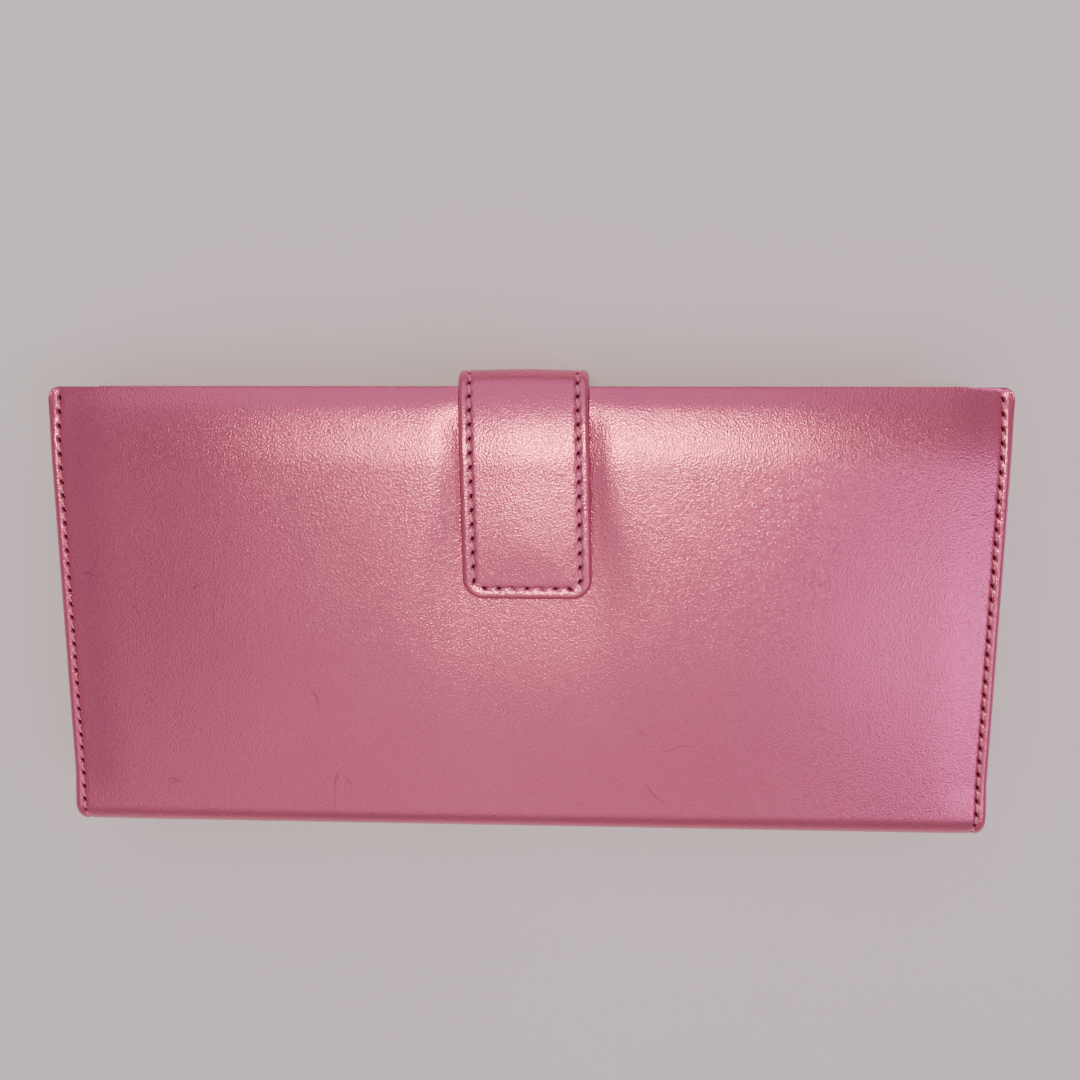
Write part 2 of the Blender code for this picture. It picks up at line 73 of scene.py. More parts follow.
# %% [markdown]
# A surface here is a grid of points with its rows and columns numbered. Two neighbouring rows
# and two neighbouring columns enclose one four-sided face, so all the faces of a grid come from
# four shifted copies of the same table of numbers, with no loop.
# %% Grids into meshes
def quads(index, flip=False):
    """Faces of a numbered grid: each joins a point to the next column, the next row and back."""
    ring = [index[:-1, :-1], index[:-1, 1:], index[1:, 1:], index[1:, :-1]]
    return np.stack(ring[::-1] if flip else ring, axis=-1).reshape(-1, 4)


def wrapped(index):
    """The same numbers with the first column again at the end, which closes a tube."""
    return np.concatenate([index, index[:, :1]], axis=1)


def both_sides(right):
    """Places across a piece from the distances of its right half, mirrored about the middle."""
    return np.concatenate([-right, right[:, -2::-1]], axis=1)


def clean(faces):
    """Splits faces into true quads and the triangles left where two corners are one point."""
    same = faces == np.roll(faces, -1, axis=1)
    whole = faces[~same.any(axis=1)]
    worn = faces[same.sum(axis=1) == 1]
    gone = same[same.sum(axis=1) == 1]
    return whole, worn[~gone].reshape(-1, 3)


def make_piece(name, points, faces, material, sharp=35, attributes=None):
    """A mesh object from points and four-cornered faces, with its resting place kept as 'rest'."""
    points = np.ascontiguousarray(points, dtype=np.float32).reshape(-1, 3)
    whole, triangles = clean(np.asarray(faces))
    loops = np.concatenate([whole.reshape(-1), triangles.reshape(-1)]).astype(np.int32)
    sizes = np.concatenate([np.full(len(whole), 4), np.full(len(triangles), 3)])
    starts = np.concatenate([[0], np.cumsum(sizes)[:-1]]).astype(np.int32)
    mesh = bpy.data.meshes.new(name)
    mesh.vertices.add(len(points))
    mesh.vertices.foreach_set("co", points.reshape(-1))
    mesh.loops.add(len(loops))
    mesh.loops.foreach_set("vertex_index", loops)
    mesh.polygons.add(len(starts))
    mesh.polygons.foreach_set("loop_start", starts)
    mesh.update(calc_edges=True)
    mesh.validate()
    mesh.polygons.foreach_set("use_smooth", np.ones(len(mesh.polygons), dtype=bool))
    mesh.set_sharp_from_angle(angle=np.radians(sharp))
    rest = mesh.attributes.new("rest", "FLOAT_VECTOR", "POINT")
    rest.data.foreach_set("vector", points.reshape(-1))
    for word, values in (attributes or {}).items():
        layer = mesh.attributes.new(word, "FLOAT", "POINT")
        layer.data.foreach_set("value", np.asarray(values, dtype=np.float32).reshape(-1))
    mesh.materials.append(material)
    obj = bpy.data.objects.new(name, mesh)
    bpy.context.scene.collection.objects.link(obj)
    return obj


def drop_loose(obj):
    """Removes the border points of the inner grid that the outer grid's border stands for."""
    mesh = obj.data
    used = np.zeros(len(mesh.vertices), dtype=bool)
    loops = np.empty(len(mesh.loops), dtype=np.int32)
    mesh.loops.foreach_get("vertex_index", loops)
    used[loops] = True
    bm = bmesh.new()
    bm.from_mesh(mesh)
    bm.verts.ensure_lookup_table()
    bmesh.ops.delete(bm, geom=[bm.verts[i] for i in np.flatnonzero(~used)], context="VERTS")
    bm.to_mesh(mesh)
    bm.free()


def make_shell(name, good, back, flip, material, caps=(False, False), **attributes):
    """A closed shell from two grids that share their side borders.

    At each end the grids share their last row, or a cap of quads joins the two rows. An
    attribute is a pair of arrays, one for each grid.
    """
    top = np.arange(good[..., 0].size).reshape(good.shape[:2])
    low = top + top.size
    low[:, 0], low[:, -1] = top[:, 0], top[:, -1]
    for row, cap in zip((0, -1), caps):
        if not cap:
            low[row] = top[row]
    faces = [quads(top, flip), quads(low, not flip)]
    for row, cap, turned_out in zip((0, -1), caps, (not flip, flip)):
        if cap:
            faces.append(quads(np.stack([top[row], low[row]]), turned_out))
    values = {word: np.stack(pair) for word, pair in attributes.items()}
    obj = make_piece(name, np.stack([good, back]), np.concatenate(faces), material, attributes=values)
    drop_loose(obj)
    return obj


def smooth(value, low, high):
    """0 before low, 1 after high, and an even S-shaped rise between them."""
    t = np.clip((value - low) / (high - low), 0.0, 1.0)
    return t * t * (3.0 - 2.0 * t)


def bell(distance, width):
    """A bump of height 1 that has fallen to about a third at one width from its middle."""
    return np.exp(-((distance / width) ** 2))


# %% [markdown]
# The leather is a calf skin with a fine embossed pebble and a faint pearl finish: it is nearly
# matt in the open and shows a wide pale gloss under a lamp. The pebble could be modelled, but at
# a third of a millimetre it is better as a bump: rounded cells, pulled out of shape by a slow
# noise, with a finer noise on top. The colour wanders a little. Painted shade darkens the
# furrows and makes the needle holes almost black-red, and a painted shadow darkens the strap's
# outermost edge where it meets the cover. The rims are painted paler, partly as rubbing and
# partly as a painted highlight on their crest. A few hairline scuffs are the borders of much
# larger cells, shown only where a slow noise is high.
# %% Shader helpers
def new_material(name):
    """A material with an empty board of nodes apart from its shader."""
    material = bpy.data.materials.new(name)
    material.use_nodes = True
    return material, material.node_tree, material.node_tree.nodes["Principled BSDF"]


def node(tree, kind, *links, **settings):
    """One node: links are (input, source or value) pairs, and settings are its own options."""
    made = tree.nodes.new("ShaderNode" + kind)
    for word, value in settings.items():
        setattr(made, word, value)
    for socket, source in links:
        if hasattr(source, "is_output"):
            tree.links.new(source, made.inputs[socket])
        else:
            made.inputs[socket].default_value = source
    return made


def attribute(tree, word):
    return node(tree, "Attribute", attribute_name=word)


def ramp(tree, source, stops):
    """A colour ramp from (place, colour) stops."""
    made = node(tree, "ValToRGB", ("Fac", source))
    band = made.color_ramp
    while len(band.elements) < len(stops):
        band.elements.new(0.5)
    for element, (place, colour) in zip(band.elements, stops):
        element.position = place
        element.color = (*colour, 1.0) if len(colour) == 3 else colour
    return made.outputs["Color"]


def grey(value):
    return (value, value, value)


def mix(tree, amount, first, second, blend="MIX"):
    """Two colours mixed; amount may be a number or a socket."""
    made = node(tree, "Mix", data_type="RGBA", blend_type=blend, clamp_factor=True)
    for socket, source in zip((0, 6, 7), (amount, first, second)):
        if hasattr(source, "is_output"):
            tree.links.new(source, made.inputs[socket])
        elif isinstance(source, tuple):
            made.inputs[socket].default_value = (*source, 1.0)
        else:
            made.inputs[socket].default_value = source
    return made.outputs[2]


def noise(tree, place, scale, *links):
    """A noise pattern at that scale: its node, for its grey or its colour."""
    return node(tree, "TexNoise", ("Vector", place), ("Scale", scale), *links)


def sums(tree, kind, operation, first, second):
    """The first output of a number or vector sum of two sources."""
    return node(tree, kind, (0, first), (1, second), operation=operation).outputs[0]


def fade_in(tree, source, low, high, top=1.0):
    """0 up to low and top from high on, along a colour ramp."""
    return ramp(tree, source, [(low, grey(0.0)), (high, grey(top))])


def bump(tree, height, distance, strength=1.0, under=None):
    links = [("Height", height), ("Distance", distance), ("Strength", strength)]
    if under is not None:
        links.append(("Normal", under))
    return node(tree, "Bump", *links).outputs["Normal"]


# %% [markdown]
# Every pattern is laid on the 'rest' places, so it stays on the skin when a piece bends. The
# grain's size is the one number that all its parts are scaled by.
# %% The leather
GRAIN = 0.37 * MM
# Painted shade: the colour that darkens the inside of the needle holes.
HOLE_SHADOW_COLOUR = (0.085, 0.010, 0.024)


def times(share, colour):
    return tuple(share * part for part in colour)


def pulled(tree, place, wander, reach):
    """Places pushed aside by a noise's colour, by up to reach each way."""
    push = sums(tree, "VectorMath", "MULTIPLY", wander.outputs["Color"], (reach, reach, reach))
    return sums(tree, "VectorMath", "ADD", place, push)


def make_leather(name, colour, shade, rub_and_highlight, roughness, grain=GRAIN, depth=1.0):
    """Pebbled leather: painted shade in furrows, holes and strap edge; rims paler, rubbed and highlit.
    """
    material, tree, shader = new_material(name)
    rest = attribute(tree, "rest").outputs["Vector"]
    place = pulled(tree, rest, noise(tree, rest, 0.35 / grain, ("Detail", 2.0)), grain)
    links = [("Vector", place), ("Scale", 1.0 / grain), ("Smoothness", 0.35)]
    cells = node(tree, "TexVoronoi", *links, feature="SMOOTH_F1").outputs["Distance"]
    fine = noise(tree, rest, 2.6 / grain, ("Detail", 3.0), ("Roughness", 0.6)).outputs["Fac"]
    slow = noise(tree, rest, 38.0, ("Detail", 3.0), ("Roughness", 0.55)).outputs["Fac"]
    patch = noise(tree, rest, 420.0, ("Detail", 4.0), ("Roughness", 0.6)).outputs["Fac"]
    pebble = sums(tree, "Math", "MULTIPLY", cells, -1.0)
    normal = bump(tree, pebble, 0.22 * depth * grain, 0.52)
    normal = bump(tree, fine, 0.14 * depth * grain, 0.30, normal)
    normal = bump(tree, patch, 0.05 * MM, 0.08, normal)
    tree.links.new(normal, shader.inputs["Normal"])
    tree.links.new(normal, shader.inputs["Coat Normal"])
    tint = mix(tree, fade_in(tree, slow, 0.35, 0.68), colour, shade)
    # Painted shade: the pebble's furrows are darkened where shade would fall in them.
    tint = mix(tree, fade_in(tree, cells, 0.30, 0.85, 0.45), tint, times(0.72, shade))
    # The rims are painted paler: partly rubbing, partly a painted highlight on their rounded crest.
    tint = mix(tree, attribute(tree, "rim").outputs["Fac"], tint, rub_and_highlight)
    # Painted shadow: the edge mark darkens the strap's outermost border as the shadow where it meets
    # the cover.
    tint = mix(tree, attribute(tree, "edge").outputs["Fac"], tint, times(0.22, shade))
    bent = pulled(tree, rest, noise(tree, rest, 90.0, ("Detail", 1.0)), 12.0 * MM)
    links = [("Vector", bent), ("Scale", 55.0)]
    hairline = node(tree, "TexVoronoi", *links, feature="DISTANCE_TO_EDGE").outputs["Distance"]
    hairline = ramp(tree, hairline, [(0.0, grey(1.0)), (0.010, grey(0.0))])
    some = noise(tree, rest, 110.0, ("Detail", 0.0)).outputs["Fac"]
    scuff = mix(tree, 1.0, hairline, fade_in(tree, some, 0.68, 0.76, 0.5), blend="MULTIPLY")
    tint = mix(tree, scuff, tint, times(0.35, shade))
    # Painted shade: the needle holes are darkened almost to black-red.
    hole = fade_in(tree, attribute(tree, "hole").outputs["Fac"], 0.22, 0.55)
    tint = mix(tree, hole, tint, HOLE_SHADOW_COLOUR)
    tree.links.new(tint, shader.inputs["Base Color"])
    links = [("Value", patch), ("From Min", 0.3), ("From Max", 0.7)]
    links += [("To Min", roughness - 0.015), ("To Max", roughness + 0.02)]
    rough = node(tree, "MapRange", *links).outputs["Result"]
    rough = node(tree, "Math", (0, rough), (1, hole), operation="ADD", use_clamp=True).outputs[0]
    tree.links.new(rough, shader.inputs["Roughness"])
    return material, shader


PINK = (0.71, 0.146, 0.226)
PINK_SHADE = (0.67, 0.136, 0.222)
# Rim colour: partly rubbing, partly a painted highlight on the rims' crest.
PINK_RUB_AND_HIGHLIGHT = (0.82, 0.20, 0.28)
leather, leather_shader = make_leather("pink_leather", PINK, PINK_SHADE, PINK_RUB_AND_HIGHLIGHT, 0.22)
leather_shader.inputs["Metallic"].default_value = 0.72
leather_shader.inputs["Specular IOR Level"].default_value = 0.35
leather_shader.inputs["Coat Weight"].default_value = 0.04
leather_shader.inputs["Coat Roughness"].default_value = 0.20
print("leather:", len(leather.node_tree.nodes), "nodes, pebble", GRAIN / MM, "mm")

# %% [markdown]
# The thread is a thick polyester in a lighter pink, of two plies laid round each other. It is
# small enough for the plies to be a band of light and dark round the thread, given by the
# thread's own running length.
# %% The thread
def wave_of(tree, source, turns):
    """The sine of a source times a number."""
    angle = sums(tree, "Math", "MULTIPLY", source, turns)
    return node(tree, "Math", (0, angle), operation="SINE").outputs[0]


def from_wave(tree, wave):
    """A wave between -1 and 1 as an amount between 0 and 1."""
    links = [("Value", wave), ("From Min", -1.0), ("From Max", 1.0)]
    return node(tree, "MapRange", *links).outputs["Result"]


def make_thread(name, light, dark):
    material, tree, shader = new_material(name)
    turn = attribute(tree, "turn").outputs["Fac"]
    ply = from_wave(tree, wave_of(tree, turn, 6.2832))
    fuzz = noise(tree, attribute(tree, "rest").outputs["Vector"], 9000.0).outputs["Fac"]
    tree.links.new(mix(tree, fade_in(tree, ply, 0.1, 0.55), dark, light), shader.inputs["Base Color"])
    normal = bump(tree, ply, 0.03 * MM, 0.8)
    tree.links.new(bump(tree, fuzz, 0.02 * MM, 0.5, normal), shader.inputs["Normal"])
    shader.inputs["Roughness"].default_value = 0.55
    shader.inputs["Sheen Weight"].default_value = 0.3
    return material


thread = make_thread("pink_thread", (0.86, 0.30, 0.37), (0.62, 0.14, 0.21))

# %% [markdown]
# Each cover is one skin turned round a board. Flat stretches and bends follow each other along
# its length, so its outer face is carried along a path: up half the spine, round the crease, and
# straight out to the opening edge. A place on the skin is then two numbers, how far along the
# path and how far across, and a depth below the outer face is measured along the path's normal.
# %% A path of straights and bends
def run_along(pieces):
    """Joins ('line', start, end) and ('arc', centre, radius, from, to) into one path.

    Returns its length and a function from distances to (y, z) points and inward normals. On a
    line the point moves evenly; on an arc it turns evenly, and the normal points to the centre.
    """
    lengths = []
    for kind, *facts in pieces:
        if kind == "line":
            lengths.append(float(np.hypot(*(np.subtract(facts[1], facts[0])))))
        else:
            lengths.append(abs(facts[1] * np.radians(facts[3] - facts[2])))
    starts = np.concatenate([[0.0], np.cumsum(lengths)])

    def follow(s):
        s = np.asarray(s, dtype=float)
        y, z, ny, nz = (np.zeros_like(s) for _ in range(4))
        for number, (kind, *facts) in enumerate(pieces):
            here = (s >= starts[number]) & ((s < starts[number + 1]) | (number == len(pieces) - 1))
            part = (s[here] - starts[number]) / lengths[number]
            if kind == "line":
                (y0, z0), (y1, z1) = facts[:2]
                y[here], z[here] = y0 + part * (y1 - y0), z0 + part * (z1 - z0)
                along = np.array([y1 - y0, z1 - z0]) / lengths[number]
                ny[here], nz[here] = facts[2] * -along[1], facts[2] * along[0]
            else:
                (cy, cz), radius, first, last = facts
                angle = np.radians(first + part * (last - first))
                y[here], z[here] = cy + radius * np.cos(angle), cz + radius * np.sin(angle)
                ny[here], nz[here] = -np.cos(angle), -np.sin(angle)
        return y, z, ny, nz

    return starts, follow


cover_marks, cover_path = run_along(
    [
        ("line", (SPINE_Y, THICK / 2), (SPINE_Y, CREASE), 1),
        ("arc", (SPINE_Y + CREASE, CREASE), CREASE, 180, 270),
        ("line", (SPINE_Y + CREASE, 0.0), (EDGE_Y, 0.0), 1),
    ]
)
COVER_LENGTH = cover_marks[-1]
print(f"a cover's outer face is {COVER_LENGTH / MM:.1f} mm long, from mid spine to opening edge")

# %% [markdown]
# Two rows of holes run down each cover, one inside each turned side edge. The stitches follow
# the same rows, so the rows are laid out first: the holes stand one stitch apart, and each is a
# short slot that leans a little across the row, as a blade needle leaves it.
# %% Holes and stitches
STITCH = 2.8 * MM
SEAM = 2.25 * MM
HOLE_LONG, HOLE_WIDE, HOLE_LEAN = 0.54 * MM, 0.27 * MM, 0.45


def holes_at(across, along, centres, directions):
    """How far inside a needle hole each place is: 1 in a hole's middle, 0 well outside.

    Every place is measured from every hole along the row and across it, as shares of the slot's
    half length and half width, and the nearest hole counts.
    """
    best = np.full(across.shape, 1e9)
    for (x, s), (dx, ds) in zip(centres, directions):
        ox, os = across - x, along - s
        long, wide = ox * dx + os * ds, ox * -ds + os * dx
        wide = wide - HOLE_LEAN * long
        best = np.minimum(best, (long / HOLE_LONG) ** 2 + (wide / HOLE_WIDE) ** 2)
    return np.exp(-best)


HOLE_INSET = 0.34 * MM


STITCH_LEAN = 0.22 * MM


def stitch_row(name, starts, ends, normals, material, radius=0.17 * MM, rise=0.15 * MM):
    """Thread from hole to hole: a tube out of one hole, along the skin and into the next.

    Its middle goes straight from start to end, lifted by a flat-topped hump, and it leans across
    the row; its section is a circle of eight points that thins where it dives.
    """
    rings, sides = 7, 8
    t = np.linspace(0.0, 1.0, rings)
    lift = (1.0 - (2.0 * t - 1.0) ** 4) * (rise + 0.45 * MM) - 0.45 * MM
    thin = 0.75 + 0.25 * np.sin(np.pi * t)
    a = np.linspace(0.0, 2.0 * np.pi, sides, endpoint=False)
    along = (ends - starts) / np.linalg.norm(ends - starts, axis=1, keepdims=True)
    starts, ends = starts + HOLE_INSET * along, ends - HOLE_INSET * along
    run = ends - starts
    across = np.cross(normals, along)
    side_shift = (t - 0.5)[None, :, None] * STITCH_LEAN * across[:, None, :] * 2.0
    middle = starts[:, None, :] + t[None, :, None] * run[:, None, :]
    middle = middle + lift[None, :, None] * normals[:, None, :] + side_shift
    round_ = (
        np.cos(a)[None, None, :, None] * across[:, None, None, :]
        + np.sin(a)[None, None, :, None] * normals[:, None, None, :]
    )
    points = middle[:, :, None, :] + (radius * thin)[None, :, None, None] * round_
    count = len(starts)
    index = np.arange(rings * sides).reshape(rings, sides)
    index = wrapped(index)
    faces = quads(index, flip=True)
    ends_index = np.array([[0, 1, 2, 3], [0, 3, 4, 7], [4, 5, 6, 7]])
    caps = np.concatenate([ends_index[:, ::-1], ends_index + (rings - 1) * sides])[:, ::-1]
    faces = np.concatenate([faces, caps])
    faces = (faces[None] + (np.arange(count) * rings * sides)[:, None, None]).reshape(-1, 4)
    turn = t[None, :, None] * 4.0 + a[None, None, :] / (2.0 * np.pi) + np.zeros((count, 1, 1))
    return make_piece(name, points, faces, material, sharp=60, attributes={"turn": turn})


# %% [markdown]
# The border of a cover is thinner than its middle, because the board stops short of the seam.
# Going inwards from the side, the section is a rounded rim, a furrow that the thread pulls
# down, and then a soft climb on to the board. All of that is one function of the distance from
# the side. The whole face swells a little, and falls along a wide circle towards the opening
# edge. The front cover also carries the strap's print: a trough under it that widens and fades
# towards its free end, a shallow dip round the snap, and a flat seat for the stud.
# %% The shape of a cover
RIM = 1.45 * MM
NOSE = 4.6 * MM
CORNER = 2.4 * MM
SPINE_SKIN = 1.0 * MM
SWELL = 0.65 * MM
DIP, DIP_Y = 0.35 * MM, 7.0 * MM
DIP_ACROSS, DIP_NORTH, DIP_SOUTH = 24.0 * MM, 20.0 * MM, 28.0 * MM
TROUGH = 1.30 * MM
TROUGH_INSIDE, TROUGH_OUTSIDE, TROUGH_SPREAD = 11.0 * MM, 17.0 * MM, 9.0 * MM
TROUGH_SOUTH, TROUGH_FULL = -40.0 * MM, 22.0 * MM
TROUGH_NORTH = (36.0 * MM, 44.0 * MM)
NORTH_LOSS = 0.65
SEAT, SEAT_DEPTH = 6.4 * MM, 0.50 * MM
FALL_FROM, FALL_RADIUS = 29.7 * MM, 60.0 * MM


def half_width(from_edge):
    """Half the width at a distance from the opening edge, rounded off at the two corners."""
    e = np.clip(CORNER - from_edge, 0.0, CORNER)
    return SIDE - CORNER + np.sqrt(CORNER**2 - e**2)


def quarter(distance, reach):
    """A quarter circle's rise: 0 at the border, 1 from reach inwards."""
    return np.sqrt(np.clip(1.0 - (1.0 - np.clip(distance / reach, 0.0, 1.0)) ** 2, 0.0, 1.0))


def strap_lean(y):
    """The strap's sideways drift: it grows evenly from the opening edge to the free end."""
    return 0.15 * MM + 0.0217 * np.clip(EDGE_Y + 2 * MM - y, 0.0, None)


def face_lift(x, y, dips):
    """How far a cover's outer face stands above the flat.

    A low swell, less the fall to the opening edge (a parabola as flat as a wide circle), less
    the dip (a hill of two bell curves) and the trough (an S-shaped bank on each side of the
    strap); round the snap all of that gives way to a flat seat.
    """
    swell = SWELL * smooth(SIDE - np.abs(x), 3.0 * MM, 42.0 * MM)
    swell = swell * smooth(y, SPINE_Y + 4 * MM, SPINE_Y + 40 * MM)
    fall = np.clip(y - FALL_FROM, 0.0, None) ** 2 / (2.0 * FALL_RADIUS)
    if not dips:
        return 0.5 * swell - 0.6 * fall
    across, along = x / DIP_ACROSS, (y - DIP_Y) / np.where(y > DIP_Y, DIP_NORTH, DIP_SOUTH)
    dip = DIP * np.exp(-(across**2) - along**2)
    reach = TROUGH_OUTSIDE + TROUGH_SPREAD * (1.0 - smooth(y, -4.0 * MM, TROUGH_NORTH[0]))
    press = 1.0 - smooth(np.abs(x - strap_lean(y)), TROUGH_INSIDE, reach)
    press = press * smooth(y, TROUGH_SOUTH, TROUGH_FULL) * (1.0 - NORTH_LOSS * smooth(y, *TROUGH_NORTH))
    lift = swell - fall - dip - TROUGH * press
    seat = 1.0 - smooth(np.hypot(x, y - SNAP_Y), SEAT, SEAT + 2.5 * MM)
    return lift + seat * (-SEAT_DEPTH - lift)


def cover_depths(x, s, side, dips, holes, row_directions):
    """(outer depth, inner depth, hole) of the skin below its path at places (x, s)."""
    y = SPINE_Y + CREASE + (s - cover_marks[2])
    on_board = smooth(s, cover_marks[2] - 1.0 * MM, cover_marks[2] + 8.0 * MM)
    middle = 1.2 * MM + on_board * (PANEL / 2 - 1.2 * MM)
    from_side = side - np.abs(x)
    seam_side = SIDE - np.abs(x)
    climb = smooth(seam_side, 1.5 * MM, 12.0 * MM)
    furrow = bell(seam_side - SEAM, 0.50 * MM)
    hole = holes_at(x, s, holes, row_directions)
    border = (0.05 + 0.50 * on_board) * MM
    outer = border * (1.0 - climb) + 0.24 * MM * furrow + 0.60 * MM * hole
    outer = outer - on_board * face_lift(x, y, dips)
    thin = 2.0 * middle - border * (1.0 - climb) - 0.25 * MM * furrow
    leaf = smooth(s, cover_marks[2] + 0.6 * MM, cover_marks[2] + 5.0 * MM)
    spine_inner = 2.4 * MM - (2.4 * MM - SPINE_SKIN) * smooth(seam_side, 2.8 * MM, 4.2 * MM)
    inner = spine_inner + leaf * (thin - spine_inner)
    round_off = quarter(from_side, RIM) * quarter(EDGE_Y - y, NOSE)
    outer = middle - (middle - outer) * round_off
    inner = middle + (inner - middle) * round_off
    return outer, inner, hole


def cover_columns():
    """Places across the skin as distances from its side: crowded at the rim and at the seam."""
    rim = RIM * (1.0 - np.cos(np.linspace(0.0, np.pi / 2, 8)))
    seam = np.linspace(1.65, 2.85, 13) * MM
    climb = np.linspace(3.1, 8.0, 12) * MM
    middle = np.linspace(8.0 * MM, SIDE, 34)[1:]
    return np.concatenate([rim, seam, climb, middle])


def make_cover(name, front, material):
    """One cover's skin as a closed shell: an outer and an inner grid that share their border."""
    distance = cover_columns()
    rows = np.arange(0.0, COVER_LENGTH - NOSE, 0.35 * MM)
    rows = np.concatenate([rows, COVER_LENGTH - NOSE * (1.0 - np.sin(np.linspace(0, np.pi / 2, 14)))])
    side = half_width(COVER_LENGTH - rows)[:, None]
    right = side - distance[None, :] * side / SIDE
    x = both_sides(right)
    s = np.repeat(rows[:, None], x.shape[1], axis=1)
    row_s = np.arange(0.9 * MM, COVER_LENGTH - 0.5 * MM, STITCH)
    centres = [(sign * (SIDE - SEAM), value) for sign in (-1, 1) for value in row_s]
    directions = [(0.0, 1.0)] * len(centres)
    outer, inner, hole = cover_depths(x, s, side, front, centres, directions)
    y, z, ny, nz = (v[:, None] for v in cover_path(rows))
    stack = []
    for depth in (outer, inner):
        py, pz = y + depth * ny, z + depth * nz
        stack.append(np.stack([x, py, THICK - pz if front else pz], axis=-1))
    # The rim mark paints the rounded border's crest paler (rubbing and painted highlight); the hole
    # mark paints shade in the needle holes.
    rim = bell(SIDE - np.abs(x) - 0.9 * MM, 1.0 * MM) * 0.12
    shades = {"hole": (hole, 0 * hole), "rim": (rim, rim)}
    return make_shell(name, *stack, front, material, (True, False), **shades), row_s


front_cover, seam_rows = make_cover("front_cover", True, leather)
back_cover, _ = make_cover("back_cover", False, leather)
for cover in (front_cover, back_cover):
    print(cover.name, len(cover.data.polygons), "faces")


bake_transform(back_cover)
back_nodes = ("back_cover_leather", "back_board", "back_crease", "spine_leather", "strap_root")
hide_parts(*back_nodes)
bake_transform(front_cover)
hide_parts("front_cover_leather", "front_board", "front_crease", "spine_leather")

# %% [markdown]
# The side seams run the whole length of the skin, over both bends, and end at the opening edge.
# Each stitch needs the two holes it joins and the skin's normal there, which come from the same
# path and the same depths as the skin itself. The same thread shows again on the leaf inside,
# where it stays with its own half, because the leaf ends before the crease.
# %% The side seams
def seam_stitches(name, front, inside=False):
    """Both side seams of a cover, on its outer face or on the leaf inside it."""
    rows = seam_rows[seam_rows > cover_marks[2] + 6 * MM] if inside else seam_rows
    body = "front_half" if front else "back_half"
    for sign, word in ((-1, "left"), (1, "right")):
        s = rows[:, None]
        x = np.full_like(s, sign * (SIDE - SEAM))
        side = half_width(COVER_LENGTH - s)
        depths = cover_depths(x, s, side, front, [(0.0, -1.0)], [(0.0, 1.0)])
        y, z, ny, nz = cover_path(rows)
        depth = depths[int(inside)][:, 0]
        py, pz = y + depth * ny, z + depth * nz
        out = -1.0 if inside else 1.0
        points = np.stack([x[:, 0], py, THICK - pz if front else pz], axis=-1)
        normals = out * np.stack([0 * ny, -ny, nz if front else -nz], axis=-1)
        middle = (normals[:-1] + normals[1:]) / 2
        middle /= np.linalg.norm(middle, axis=1, keepdims=True)
        obj = stitch_row(f"{name}_{word}", points[:-1], points[1:], middle, thread)
        if inside:
            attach(obj, body)
        else:
            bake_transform(obj)


seam_stitches("front_side_stitches", True)
seam_stitches("back_side_stitches", False)
seam_stitches("front_inner_stitches", True, inside=True)
seam_stitches("back_inner_stitches", False, inside=True)
print(len(seam_rows) - 1, "stitches down each side seam")

# %% [markdown]
# The strap is cut as one long tongue, its leather turned over the lining and stitched all the
# way round. It leaves the opening edge of the back half, stands outside the wallet and lies down
# on the front. It leans by about a degree, as a hand-set strap does, and comes over the edge
# in a tight bend that opens into a long low arch. It crosses two joints, and a piece can only
# blend across one, so it is made in two lengths that meet half way up the opening edge.
# %% The strap
STRAP_HALF = side_of("strap_riser_leather")
STRAP_THICK = 2.0 * MM
STRAP_RIM = 1.0 * MM
STRAP_CORNER = 4.0 * MM
STRAP_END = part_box("strap_tab_leather")[0].y
RISER_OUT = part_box("strap_riser_leather")[1].y
TAB_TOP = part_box("strap_tab_leather")[1].z
ROOT_BOTTOM = 1.2 * MM
LOW_BEND, HIGH_BEND = 3.6 * MM, 4.6 * MM
ARCH, ARCH_FROM = 45.0 * MM, 69.0
ARCH_COS, ARCH_SIN = np.cos(np.radians(ARCH_FROM)), np.sin(np.radians(ARCH_FROM))
ARCH_Y = RISER_OUT - HIGH_BEND - (ARCH - HIGH_BEND) * ARCH_COS
HIGH_Z = TAB_TOP - ARCH + (ARCH - HIGH_BEND) * ARCH_SIN

strap_marks, strap_path = run_along(
    [
        ("line", (EDGE_Y - 2.4 * MM, ROOT_BOTTOM), (RISER_OUT - LOW_BEND, ROOT_BOTTOM), 1),
        ("arc", (RISER_OUT - LOW_BEND, ROOT_BOTTOM + LOW_BEND), LOW_BEND, 270, 360),
        ("line", (RISER_OUT, ROOT_BOTTOM + LOW_BEND), (RISER_OUT, HIGH_Z), 1),
        ("arc", (RISER_OUT - HIGH_BEND, HIGH_Z), HIGH_BEND, 0, ARCH_FROM),
        ("arc", (ARCH_Y, TAB_TOP - ARCH), ARCH, ARCH_FROM, 90),
        ("line", (ARCH_Y, TAB_TOP), (STRAP_END, TAB_TOP), 1),
    ]
)
STRAP_LENGTH = strap_marks[-1]
STRAP_SPLIT = (strap_marks[2] + strap_marks[3]) / 2
STRAP_SEAM = 2.25 * MM
print(f"the strap is {STRAP_LENGTH / MM:.1f} mm long and {2 * STRAP_HALF / MM:.1f} mm wide")


def tab_lift(y, s):
    """The tab settles into its trough, a little less over the snap, which holds it up."""
    on_tab = smooth(s, strap_marks[4], strap_marks[5] + 4 * MM)
    return on_tab * (-0.22 + 0.10 * bell(y - SNAP_Y, 9.0 * MM)) * MM


HOLE_CORNER = 1.9 * MM


